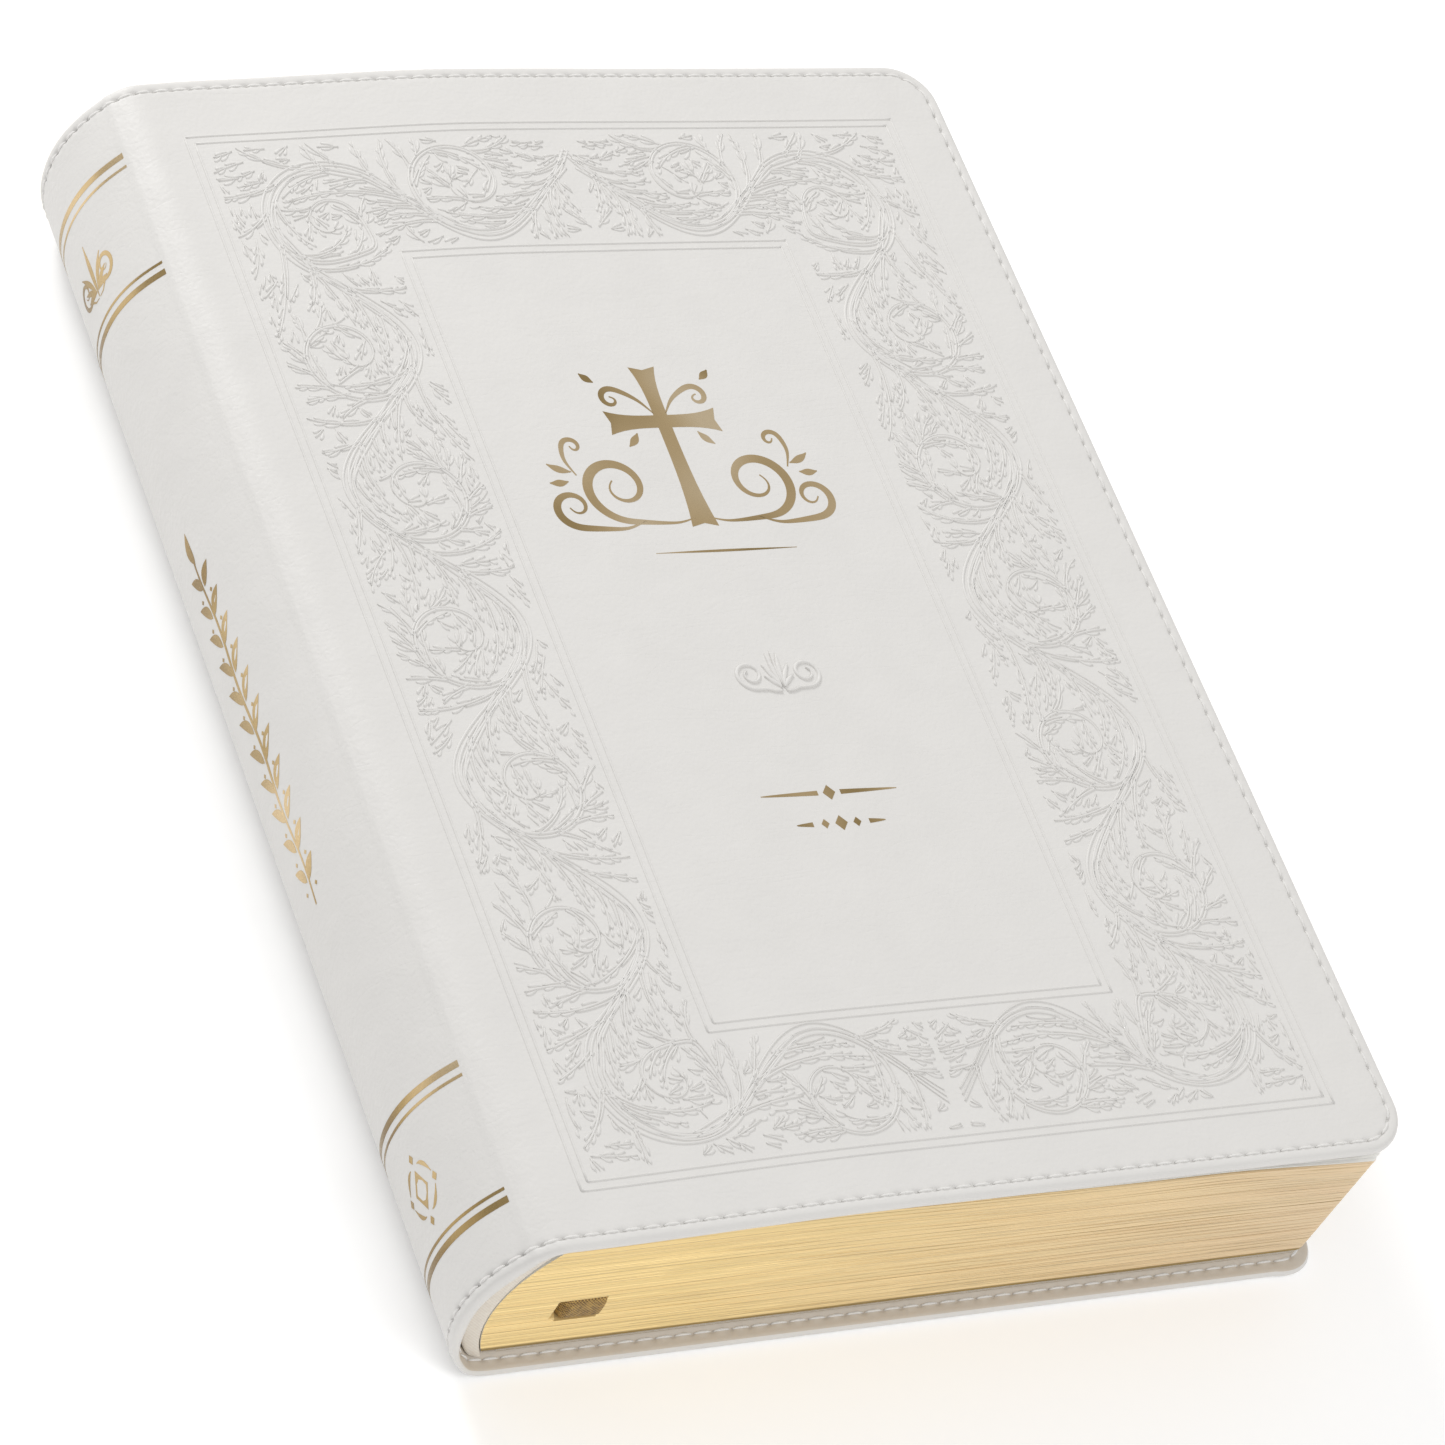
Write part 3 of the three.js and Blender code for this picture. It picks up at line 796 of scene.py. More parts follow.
OUTER_FRAME = (-68.7, 73.6, -110.0, 106.8)     # left, right, tail, head
INNER_FRAME = (-35.4, 38.6, -82.8, 76.9)
FRAME_STEP = 1.55                              # between the two lines of a frame
LEAFLET = [(-1, -0.8), (-0.45, 0.9), (0.45, 0.9), (1, -0.8)]
RIDGE = [(-1, -0.8), (-0.62, 0.55), (-0.22, 1), (0.22, 1), (0.62, 0.55), (1, -0.8)]
SWAY = 10.6                # how far the main stem swings either side of the band
VINE_SEED = 11
BAND_RADIUS = 15.0         # of the middle line of the band at its corners
POINT_STEP = 0.5           # from point to point of the band and of a new line
LEAF_STEP = 0.25           # from point to point of a leaflet
LEAFLET_PITCH = 1.6
SCROLL_TURNS = 1.62
SCROLL_RADIUS = 11.6


def pressed_frames():
    """Two frames of double lines."""
    lines = Strokes(RIDGE)
    for frame_box, step in ((OUTER_FRAME, FRAME_STEP), (INNER_FRAME, -FRAME_STEP)):
        for inset in (0, step):
            left, right, tail, head = np.array(frame_box) + np.array((1, -1, 1, -1)) * inset
            corners = ((left, tail), (right, tail), (right, head), (left, head), (left, tail))
            for start, end in zip(corners, corners[1:]):
                lines.draw(on_front(np.linspace(start, end, 110)), 0.28, 0.17)
    piece = lines.piece("pressed_frames", LEATHER)
    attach(piece, "front_cover")


class Ground:
    """The band between the frames, as cells that are free or taken."""
    CELL = 0.25

    def __init__(self, outer, inner, margin):
        left, right, tail, head = outer
        self.origin = np.array((left, tail))
        self.shape = (int((right - left) / self.CELL) + 1, int((head - tail) / self.CELL) + 1)
        x = left + self.CELL * np.arange(self.shape[0])[:, None]
        y = tail + self.CELL * np.arange(self.shape[1])[None, :]
        inside = ((x > left + margin) & (x < right - margin)
                  & (y > tail + margin) & (y < head - margin))
        hole = ((x > inner[0] - margin) & (x < inner[1] + margin)
                & (y > inner[2] - margin) & (y < inner[3] + margin))
        self.taken = ~(inside & ~hole)
        self.outside = self.taken.copy()

    def cells(self, points):
        cells = np.round((np.asarray(points) - self.origin) / self.CELL).astype(int)
        return np.clip(cells, 0, np.array(self.shape) - 1)

    def free(self, points):
        cells = self.cells(points)
        return ~self.taken[cells[:, 0], cells[:, 1]]

    def take(self, points, radius):
        reach = int(radius / self.CELL)
        for cx, cy in self.cells(points):
            x0, x1 = max(cx - reach, 0), min(cx + reach + 1, self.shape[0])
            y0, y1 = max(cy - reach, 0), min(cy + reach + 1, self.shape[1])
            self.taken[x0:x1, y0:y1] = True


def even(line, step):
    """The same line with its points a step apart."""
    line = np.asarray(line, float)
    lengths = np.concatenate(([0], np.cumsum(np.linalg.norm(np.diff(line, axis=0), axis=1))))
    count = max(3, int(lengths[-1] / step) + 1)
    t = np.linspace(0, lengths[-1], count)
    return np.stack((np.interp(t, lengths, line[:, 0]), np.interp(t, lengths, line[:, 1])), 1)


def headings(line):
    along = np.gradient(line, axis=0)
    return along / (np.linalg.norm(along, axis=1)[:, None] + 1e-9)


def turned(direction, angle):
    c, s = math.cos(angle), math.sin(angle)
    return np.array((c * direction[0] - s * direction[1], s * direction[0] + c * direction[1]))


def curl(start, direction, length, bend, step=POINT_STEP):
    """A line that leaves start and bends evenly, by bend radians a millimetre."""
    points = [np.array(start, float)]
    angle = math.atan2(direction[1], direction[0])
    for _ in range(max(3, int(length / step))):
        angle += bend * step
        points.append(points[-1] + step * np.array((math.cos(angle), math.sin(angle))))
    return np.array(points)


class Vine:
    """A scrolling vine with feathered leaves, drawn on half of the band and mirrored."""

    def __init__(self, seed):
        self.ground = Ground(OUTER_FRAME, INNER_FRAME, FRAME_STEP + 1.3)
        self.random = random.Random(seed)
        self.axis = (OUTER_FRAME[0] + OUTER_FRAME[1]) / 2
        beyond = self.ground.cells([(self.axis - 0.4, 0)])[0][0]
        self.ground.taken[beyond:] = True
        self.stems, self.leaves = [], []
        self.lay_band()

    def lay_band(self):
        """The middle line of the band, from the head round the spine side to the tail."""
        left = (OUTER_FRAME[0] + INNER_FRAME[0]) / 2
        head = (OUTER_FRAME[3] + INNER_FRAME[3]) / 2
        tail = (OUTER_FRAME[2] + INNER_FRAME[2]) / 2
        radius = BAND_RADIUS
        line = [(self.axis, head)]
        for centre_y, first in ((head - radius, math.pi / 2), (tail + radius, math.pi)):
            for angle in np.linspace(first, first + math.pi / 2, 24):
                line.append((left + radius + radius * math.cos(angle),
                             centre_y + radius * math.sin(angle)))
        line.append((self.axis, tail))
        self.band = even(line, POINT_STEP)
        self.length = POINT_STEP * (len(self.band) - 1)
        self.normals = headings(self.band)[:, ::-1] * (-1, 1)
        corner = self.axis - left - radius + radius * math.pi / 4
        self.crests = (corner, self.length - corner)

    def at(self, along, out):
        """A point of the band. out is towards the outer frame."""
        t = np.clip(np.asarray(along, float) / POINT_STEP, 0, len(self.band) - 1)
        steps = np.arange(len(self.band))
        point = [np.interp(t, steps, self.band[:, i]) for i in (0, 1)]
        normal = [np.interp(t, steps, self.normals[:, i]) for i in (0, 1)]
        return np.stack([p - n * out for p, n in zip(point, normal)], axis=-1)

    def stem(self, line, width, radius=0.7):
        """Keeps a line as a stem that tapers to its tip, and takes up its ground."""
        line = even(line, 0.8)
        t = np.linspace(0, 1, len(line))
        self.stems.append((line, width * np.sqrt(np.clip((1 - t) * 6, 0.12, 1))))
        self.ground.take(line, radius)
        return line

    def feather(self, line, reach, first, pitch, spread=0.75):
        """Leaflets on both sides of a line, shorter towards its tip."""
        line = even(line, LEAF_STEP)
        ways = headings(line)
        count = int(len(line) * LEAF_STEP / pitch)
        for number in range(count + 1):
            t = first + (1 - first) * number / max(count, 1)
            k = min(int(t * (len(line) - 1)), len(line) - 1)
            for side in (-1, 1):
                size = reach * (0.55 + 0.45 * math.sin(math.pi * min(1, t + 0.15)))
                size *= self.random.uniform(0.8, 1.1)
                angle = side * spread * self.random.uniform(0.85, 1.15)
                way = turned(ways[k], angle)
                begin = line[k] + turned(ways[k], side * math.pi / 2) * 0.12
                self.leaf(curl(begin, way, size, -side * 0.8 / size, size / 4), 1.1)

    def leaf(self, line, attached):
        """A leaflet, as long as there is room for it. Its attached part may lie on its rib."""
        line = even(line, LEAF_STEP)
        for share in (1.0, 0.8, 0.6):
            places = line[:int(len(line) * share)]
            loose = places[int(attached / LEAF_STEP):]
            if len(loose) > 1 and self.ground.free(loose).all():
                self.leaves.append(even(places, len(places) * LEAF_STEP / 5))
                self.ground.take(loose, 0.42)
                return

    def plume(self, start, way, length, bend, reach):
        """A long leaf that leaves a stem along its run and opens out into leaflets."""
        line = self.clear_part(curl(start, way, length, bend), 0.3 * length)
        if len(line) * POINT_STEP < 0.6 * length:
            return False
        rib = self.stem(line, 0.28, radius=0.4)
        along = headings(rib)[:, ::-1] * (-1, 1)
        side = 1 if bend > 0 else -1
        away = np.linspace(1, 0, len(rib))[:, None] * 0.75 * side
        half = int(len(rib) * 0.6)
        if half > 3:
            self.stem((rib - along * away)[:half], 0.24, radius=0.4)
        self.feather(rib, reach, first=0.3, pitch=LEAFLET_PITCH, spread=0.66)
        return True

    def clear_part(self, line, skip):
        """A line as far as it stays inside the band and, once past its beginning, free."""
        inside = ~self.ground.outside[tuple(self.ground.cells(line).T)]
        free = self.ground.free(line)
        free[:int(skip / POINT_STEP)] = True
        stops = np.flatnonzero(~(inside & free))
        return line[:stops[0]] if len(stops) else line

    def sprig(self, start, way, length, bend, reach, skip=1.2):
        """A short rib with leaflets, where there is room for it."""
        line = self.clear_part(curl(start, way, length, bend), skip)
        if len(line) * POINT_STEP - skip >= 1.8:
            rib = self.stem(line, 0.22, radius=0.35)
            self.feather(rib, reach, first=0.2, pitch=LEAFLET_PITCH)

    def grow(self):
        """Lays the waving stem first, then scrolls in its bays, and then all that is smaller."""
        first, last = self.crests
        wave = (last - first) / 3
        along = np.arange(1.0, self.length - 1.0, POINT_STEP)
        sway = np.cos(math.tau * (along - first) / wave)
        core = self.at(along, SWAY * sway)
        for strand in (-1, 0, 1):
            gap = 0.75 + 0.5 * np.abs(sway)
            offset = strand * gap + 0.25 * np.sin(along / 5 + strand)
            self.stem(self.at(along, SWAY * sway + offset), 0.34)
        scrolls = []
        crest = first - wave / 2
        side = -1
        while crest < self.length - 6:
            if crest > 8:
                scrolls.append(self.scroll(crest, side, wave))
            crest += wave / 2
            side = -side
        self.plumes_from(core, 3.4, (16, 24), 7.0, 0.05)
        for line in scrolls:
            self.feather(line, 3.3, first=0.3, pitch=LEAFLET_PITCH)
        for line in scrolls:
            self.plumes_from(line, 3.1, (7, 12), 3.6, 0.08)
        self.sprigs_from(core, 3.0, (6, 14), 3.0)
        for line in scrolls:
            self.sprigs_from(line, 2.8, (4, 8), 2.2)
        self.fill(4200)

    def scroll(self, crest, side, wave):
        """A spiral that leaves the stem and fills the bay at a crest of its wave."""
        angles = np.linspace(0.15, SCROLL_TURNS, 90) * math.tau
        radii = SCROLL_RADIUS * (1 - angles / (math.tau * SCROLL_TURNS)) ** 0.85 + 1.1
        lead = np.array([crest - 0.40 * wave, crest - 0.34 * wave])
        lead_out = SWAY * np.cos((lead - crest) * math.tau / wave)
        along = softened(np.concatenate((lead, crest + 1.5 - radii * np.cos(angles))), 3)
        out = softened(np.concatenate((lead_out, -1.5 + radii * np.sin(angles))), 3)
        line = self.at(along, side * out)
        twin = line + headings(line)[:, ::-1] * (1, -1) * side * 0.9 * (
            np.linspace(1, 0, len(line))[:, None])
        self.stem(twin[:int(len(twin) * 0.75)], 0.28)
        return self.stem(line, 0.34)

    def shoots(self, line, pitch, off, angles, bends, lengths):
        """(start, way, length, bend) of shoots that leave a line on both sides."""
        line = even(line, POINT_STEP)
        ways = headings(line)
        step = max(1, int(pitch / POINT_STEP))
        for k in range(step, len(line) - 1, step):
            for side in (-1, 1):
                angle = side * self.random.uniform(*angles)
                bend = side * self.random.uniform(*bends)
                length = self.random.uniform(*lengths)
                start = line[k] + turned(ways[k], side * math.pi / 2) * off
                yield start, turned(ways[k], angle), length, bend

    def plumes_from(self, line, reach, lengths, pitch, bend):
        """Plumes that leave a line at a small angle and curve away."""
        for start, way, length, turn in self.shoots(line, pitch, 0.4, (0.18, 0.5), (0.4, 1.4),
                                                    lengths):
            for share in (1.0, 0.75, 0.55):
                if self.plume(start, way, length * share, turn * bend, reach):
                    break

    def sprigs_from(self, line, reach, lengths, pitch):
        """Sprigs that leave a line steeply and curve back along it."""
        for start, way, length, bend in self.shoots(line, pitch, 0.5, (0.45, 1.0), (-0.02, -0.10),
                                                    lengths):
            self.sprig(start, way, length, bend, reach)

    def fill(self, tries):
        """Small sprigs wherever the ground is still empty, along the run of the band."""
        left, _, tail, head = OUTER_FRAME
        ways = headings(self.band)
        for number in range(tries):
            start = (self.random.uniform(left, self.axis), self.random.uniform(tail, head))
            if not self.ground.free([start])[0]:
                continue
            nearest = int(np.argmin(np.hypot(*(self.band - start).T)))
            way = turned(ways[nearest], self.random.uniform(-0.9, 0.9))
            bend = self.random.uniform(-0.10, 0.10)
            length = self.random.uniform(5, 11) if number < tries / 2 else 4
            self.sprig(start, way, length, bend, 2.6, 0.5)

    def draw(self, side):
        """The half that was drawn, or for side -1 its mirror image."""
        lines = Strokes(RIDGE)
        mirror, shift = (side, 1), (self.axis * (1 - side), 0)
        for line, widths in self.stems:
            lines.draw(on_front(line * mirror + shift), widths, 0.20)
        lines.section = LEAFLET
        for line in self.leaves:
            t = np.linspace(0, 1, len(line))
            widths = 0.10 + 0.36 * np.sin(math.pi * t ** 1.5 * 0.93)
            lines.draw(on_front(line * mirror + shift), widths, 0.15)
        return lines


def pressed_vine():
    vine = Vine(VINE_SEED)
    vine.grow()
    for side, name in ((1, "pressed_vine_left"), (-1, "pressed_vine_right")):
        piece = vine.draw(side).piece(name, LEATHER)
        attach(piece, "front_cover")


def softened(line, rounds):
    """The same line with its corners rounded off, between the same two ends."""
    for _ in range(rounds):
        line[1:-1] = (line[:-2] + 2 * line[1:-1] + line[2:]) / 4
    return line


def spiral(centre, start_radius, end_radius, start, turns, side=1):
    t = np.linspace(0, 1, 40)
    radius = start_radius + (end_radius - start_radius) * t ** 0.8
    angle = start + side * turns * math.tau * t
    return np.stack((centre[0] + radius * np.cos(angle), centre[1] + radius * np.sin(angle)), 1)


FLEURON_PLACE = (2.0, -15.8)


def pressed_fleuron():
    """Two facing curls with a bud between them."""
    lines = Strokes(RIDGE)

    def put(line, width, sides=(-1, 1)):
        for mirror in sides:
            lines.draw(on_front(line * (mirror, 1) + FLEURON_PLACE), width, 0.34)

    ring = spiral((5.4, -0.3), 3.2, 0.9, math.radians(-115), 1.5)
    lead = ((0.5, -4.0), (1.8, -3.9), (3.2, -3.4))
    curl_line = even(np.concatenate((lead, ring[1:])), 0.35)
    put(curl_line, 0.10 + 0.42 * np.sin(np.linspace(0.25, math.pi - 0.2, len(curl_line))))
    t = np.linspace(0, 1, 12)
    for reach, lean in ((7.2, 0.10), (5.4, 0.42), (3.6, 0.75)):
        petal = np.stack((0.3 + reach * math.sin(lean) * t ** 1.5,
                          -3.4 + reach * math.cos(lean) * t), 1)
        put(petal, 0.10 + 0.55 * np.sin(math.pi * np.clip(t ** 1.3, 0.04, 0.96)))
    put(np.stack((0 * t, -3.0 + 7.4 * t), 1), 0.07 + 0.3 * np.sin(math.pi * t), (1,))
    piece = lines.piece("pressed_fleuron", LEATHER)
    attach(piece, "front_cover")


# ---- gold foil ------------------------------------------------------------------------------

LEAF_OF_FOIL = [(-1, -1.5), (-0.97, 0.8), (-0.5, 1), (0.5, 1), (0.97, 0.8), (1, -1.5)]
FOIL_HEIGHT = 0.045
FOIL_ROOT = 0.08           # how deep a plate of foil is pressed into the leather
CROSS_BAR = 0.655          # height of the cross-bar, as a share of the cross
CROSS_NOTCH = 0.7          # depth of the hollow in the end of an arm


def plate(outline, lines):
    """Adds a flat piece of foil in (s, y), as a closed slab."""
    top = wrapped(outline[:, 0], outline[:, 1], -FOIL_HEIGHT)
    bottom = wrapped(outline[:, 0], outline[:, 1], FOIL_ROOT)
    first = sum(len(p) for p in lines.points)
    count = len(outline)
    lines.points.append(np.concatenate((top, bottom)))
    lines.faces.append(tuple(first + i for i in range(count)))
    lines.faces.append(tuple(first + count + i for i in reversed(range(count))))
    for i in range(count):
        j = (i + 1) % count
        lines.faces.append((first + i, first + count + i, first + count + j, first + j))


def cross_outline(foot, height, span, half, flare):
    """A Latin cross with widened, hollow-cut ends, on the middle line of the cover."""
    bar = foot + height * CROSS_BAR
    arms = [((0, 1), foot + height - bar), ((-1, 0), span / 2), ((0, -1), bar - foot),
            ((1, 0), span / 2)]
    t = np.linspace(0, 1, 8)
    half_here = half + (flare - half) * t ** 3
    points = []
    for (dx, dy), length in arms:
        reach = half + (length - half) * t
        left = np.stack((dx * reach + dy * half_here, bar + dy * reach - dx * half_here), 1)
        right = np.stack((dx * reach - dy * half_here, bar + dy * reach + dx * half_here), 1)
        notch = (dx * (length - CROSS_NOTCH), bar + dy * (length - CROSS_NOTCH))
        points += [*left, notch, *right[::-1]]
    return on_front(np.array(points))


def diamond(cx, cy, half_x, half_y):
    return np.array(((cx - half_x, cy), (cx, cy + half_y), (cx + half_x, cy), (cx, cy - half_y)))


def swelling(line, low, high, power, ends):
    """Half widths along a line: widest in the middle, and not quite nothing at the ends."""
    t = np.linspace(0, 1, len(line))
    return low + (high - low) * np.sin(math.pi * np.clip(t, ends, 1 - ends)) ** power


def foil_title():
    """A cross between two scrolls with a rule beneath, where a title would stand."""
    lines = Strokes(LEAF_OF_FOIL)
    plate(cross_outline(15.5, 35.0, 22.0, 1.35, 2.6), lines)

    def put(line, low, high):
        for mirror in (-1, 1):
            lines.draw(on_front(line * (mirror, 1)), swelling(line, low, high, 1.3, 0.02),
                       FOIL_HEIGHT)

    def scroll(lead, centre, radius, begin, turns, high, way=1):
        ring = spiral(centre, radius, 0.22 * radius, math.radians(begin), turns, way)
        put(softened(even(np.concatenate((lead, ring[2:])), 0.45), 14), 0.12, high)

    scroll([(1.4, 17.4), (4.6, 16.4), (8.4, 16.6)], (13.6, 24.6), 8.0, -108, 1.45, 0.95)
    scroll([(11.0, 17.2), (15.0, 15.6), (19.0, 15.9)], (23.4, 20.9), 4.8, -110, 1.3, 0.75)
    scroll([(20.9, 27.6), (22.4, 31.2), (21.8, 33.4)], (19.6, 33.6), 2.6, 10, 1.05, 0.5)
    scroll([(1.2, 40.2), (3.2, 43.2), (5.6, 45.0)], (8.4, 43.6), 2.9, 120, 1.15, 0.6, -1)
    for x, y, angle, size in ((21.6, 28.4, 0.15, 4.6), (22.8, 26.4, -0.25, 3.6),
                              (10.6, 47.4, 0.55, 3.0), (6.0, 36.0, -1.1, 3.8)):
        put(curl((x, y), (math.cos(angle), math.sin(angle)), size, 0.12, size / 9), 0.08, 0.75)
    rule = np.stack((np.linspace(-13.9, 13.9, 30) + 2.15, np.full(30, 10.2)), 1)
    lines.draw(on_front(rule), swelling(rule, 0.05, 0.26, 1.3, 0.02), FOIL_HEIGHT)
    piece = lines.piece("foil_cross_and_scrolls", FOIL, sharp=40)
    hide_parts("front_foil_cross")
    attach(piece, "front_cover")


def foil_divider():
    """Two rows of a small divider, where a second line of title would stand."""
    lines = Strokes(LEAF_OF_FOIL)
    middle = 2.4
    for row_y, reach, diamonds in ((-40.8, 13.2, (0,)), (-47.0, 8.6, (-3.1, 0, 3.1))):
        start = 2.2 + 1.05 * max(diamonds)
        t = np.linspace(start, reach, 12)
        widths = 0.42 * (1 - (t - start) / (reach - start)) ** 0.7 + 0.07
        for side in (-1, 1):
            line = np.stack((middle + side * t, np.full(12, row_y)), 1)
            lines.draw(on_front(line), widths, FOIL_HEIGHT)
        for offset in diamonds:
            size = 1.5 if offset == 0 else 0.95
            plate(on_front(diamond(middle + offset, row_y, size * 0.8, size)), lines)
    piece = lines.piece("foil_divider", FOIL, sharp=40)
    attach(piece, "front_cover")


BRANCH_TOP, BRANCH_TAIL = 31.5, -42.0
BRANCH_ARC = 0.9
BRANCH_PAIRS = 11
SPRAY_ARC = 1.0
TAIL_MARK = (1.6, -97.2)
THICK_RULE, THIN_RULE = 0.62, 0.28
SPINE_RULES = ((106.3, THICK_RULE), (103.9, THIN_RULE), (81.6, THIN_RULE), (79.5, THICK_RULE),
               (-83.0, THICK_RULE), (-85.1, THIN_RULE), (-106.3, THIN_RULE),
               (-108.2, THICK_RULE))


def on_spine(points):
    """(arc, y) as (s, y). arc is the distance from the middle of the spine, up to the front."""
    return np.asarray(points, float) * (-1, 1) + (SEAM, 0)


def foil_spine_ornament():
    """A spray between the head rules, a long branch down the spine and a diamond at the tail."""
    lines = Strokes(LEAF_OF_FOIL)

    def put(line, high, low=0.06):
        lines.draw(on_spine(line), swelling(line, low, high, 1.2, 0.03), FOIL_HEIGHT)

    def put_diamond(*sizes):
        plate(on_spine(diamond(*sizes)), lines)

    def leaf(arc, y, angle, length, half_width):
        """A pointed leaf. angle is measured from the head, towards the front cover."""
        t = np.linspace(0, 1, 9)
        side = half_width * np.sin(math.pi * t ** 0.85) ** 0.9
        bend = 0.10 * length * np.sin(math.pi * t)
        across = np.concatenate((bend + side, (bend - side)[-2:0:-1]))
        reach = length * np.concatenate((t, t[-2:0:-1]))
        across = across * math.copysign(1, angle)
        way_arc, way_y = math.sin(angle), math.cos(angle)
        plate(on_spine(np.stack((arc + reach * way_arc - across * way_y,
                                 y + reach * way_y + across * way_arc), 1)), lines)

    # a branch, where the lettering would run
    y = np.linspace(BRANCH_TOP, BRANCH_TAIL, 120)
    sway = 0.35 * np.sin((y - BRANCH_TOP) * math.tau / 24)
    put(np.stack((BRANCH_ARC + sway, y), 1), 0.36, 0.2)
    leaf(BRANCH_ARC, BRANCH_TOP - 4.5, 0.001, 6.5, 0.95)
    for along in np.linspace(0, 1, BRANCH_PAIRS):
        place = BRANCH_TOP - 9.5 - along * (BRANCH_TOP - BRANCH_TAIL - 14)
        length = 6.4 - 1.6 * (2 * along - 1) ** 2
        for side in (-1, 1):
            leaf(BRANCH_ARC + side * 0.5, place, side * 0.72, length, 0.95)
            put_diamond(BRANCH_ARC + side * 2.0, place - 1.6, 0.45, 0.45)
    # between the head rules
    for mirror in (-1, 1):
        ring = spiral((mirror * 4.6, -1.0), 3.1, 0.7, math.radians(-90 - mirror * 25), 1.25,
                      mirror)
        lead = [(mirror * 0.3, -5.2), (mirror * 1.8, -5.0)]
        put(even(np.concatenate((lead, ring)), 0.3) + (SPRAY_ARC, 91.0), 0.5)
        for angle, size in ((0.35, 7.4), (0.85, 5.2), (1.3, 4.2)):
            way = (mirror * math.sin(angle), math.cos(angle))
            put(curl((SPRAY_ARC + mirror * 0.4, 87.2), way, size, -mirror * 0.06, size / 10), 0.6)
    put(np.stack((np.full(12, SPRAY_ARC), np.linspace(86.0, 97.6, 12)), 1), 0.62)
    # between the tail rules
    arc, y = TAIL_MARK
    put_diamond(arc, y, 2.3, 3.6)
    for right, up in ((4.6, 0), (-4.6, 0), (0, 5.6), (0, -5.6)):
        put_diamond(arc + right, y + up, 0.7, 0.9)
    t = np.linspace(0, 1, 9)
    for side in (-1, 1):
        for way in (-1, 1):
            put(np.stack((arc + side * (1.2 + 3.0 * t), y + way * (4.2 - 3.0 * t ** 2)), 1), 0.4)
    piece = lines.piece("foil_spine_ornament", FOIL, sharp=40)
    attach(piece, "spine_block")


def foil_spine(name, back):
    """The rules across half of the spine."""
    lines = Strokes(LEAF_OF_FOIL, back)
    s = np.linspace(SEAM, (BACK_CREASE_S if back else CREASE) + 0.4, 36)
    for y, half in SPINE_RULES:
        lines.draw(np.stack((s, np.full(36, y)), 1), half, FOIL_HEIGHT)
    piece = lines.piece(name, FOIL, sharp=40)
    blend_cover(piece, back)


# ---- pages ----------------------------------------------------------------------------------

RIBBON_LEFT, RIBBON_RIGHT = -66.3, -57.4
RIBBON_LOW, RIBBON_HIGH = 11.8, 17.8
SLIT_DEPTH = 3.4           # of the opening in the tail edge that shows the ribbon
LAYERS = 6                 # bundles of leaves that stand apart in a section
DIP, FORE_DIP = 2.9, 2.0   # how far the top pages sink, in all and more at the fore-edge
PAGES_SEED = 5
TURNING_SECTIONS = 3       # the sections whose leaves are built as pieces of their own, not attached to the spine block
SHEETS = 5                 # leaves in an endpaper


def page_back_x(z):
    """X of the rounded back of the pages."""
    offset = np.asarray(z, float) - BACK_CENTRE[1]
    return BACK_CENTRE[0] - np.sqrt(BACK_RADIUS ** 2 - offset ** 2)


def page_dip(x, z, y):
    """The pages sink a little towards the fore-edge and the fold, most at the top."""
    share = np.clip((z - BLOCK_BOTTOM) / (BLOCK_TOP - BLOCK_BOTTOM), 0, 1)
    dip = DIP * smooth((x + 70) / 110) + FORE_DIP * smooth((x - 50) / 38)
    return -(dip + sink(FORE_X - x, y)) * share ** 1.5


def page_columns():
    """X of the mesh columns along head and tail, close together where the leaves bend."""
    gutter = np.arange(-67.0, -50.0, 0.85)
    notch = [edge + side for edge in (RIBBON_LEFT, RIBBON_RIGHT) for side in (-0.12, 0.12)]
    rest = np.linspace(-49, PAGE_FORE_X - PAGE_CORNER, 36)
    return sorted([-68.6, -67.8, *gutter, *notch, *rest])


class PageOutline:
    """The outline of a leaf as mesh columns: tail, fore-edge and head."""

    def __init__(self):
        self.x = page_columns()
        self.turn = np.linspace(0, math.pi / 2, 7)[1:]
        self.y = np.linspace(PAGE_CORNER - PAGE_HALF, PAGE_HALF - PAGE_CORNER, 60)[1:]
        self.side_count = 1 + len(self.x)

    def ring(self, left, inset, inset_tail=None):
        """Points of the outline, pulled in by inset."""
        half = PAGE_HALF - inset
        corner_x = PAGE_FORE_X - PAGE_CORNER
        corner_y = PAGE_HALF - PAGE_CORNER
        radius = PAGE_CORNER - inset
        tail = [(left, -half)] + [(x, -half) for x in self.x]
        if inset_tail is not None:
            tail = [(x, y + inset_tail(x)) for x, y in tail]
        tail_turn = [(corner_x + radius * math.sin(a), -corner_y - radius * math.cos(a))
                     for a in self.turn]
        fore = [(PAGE_FORE_X - inset, y) for y in self.y]
        head_turn = [(corner_x + radius * math.cos(a), corner_y + radius * math.sin(a))
                     for a in self.turn]
        head = [(x, half) for x in reversed(self.x)] + [(left, half)]
        points = tail + tail_turn + fore + head_turn[:-1] + head
        return np.array(points)

    def faces(self, levels, first=0):
        """The gilt walls between levels, and then the back wall, the bottom and the top."""
        count = len(self.ring(0, 0))
        walls, ends = [], []
        for level in range(levels - 1):
            a, b = first + level * count, first + (level + 1) * count
            for k in range(count - 1):
                walls.append((a + k, a + k + 1, b + k + 1, b + k))
            ends.append((a + count - 1, a, b, b + count - 1))
        paired = self.side_count + len(self.turn) - 1
        for level in (0, levels - 1):
            a = first + level * count
            for k in range(paired - 1):
                ends.append((a + k, a + k + 1, a + count - 2 - k, a + count - 1 - k))
            rest = range(paired - 1, count - paired + 1)
            ends.append(tuple(a + k for k in rest))
        return walls, ends


OUTLINE = PageOutline()


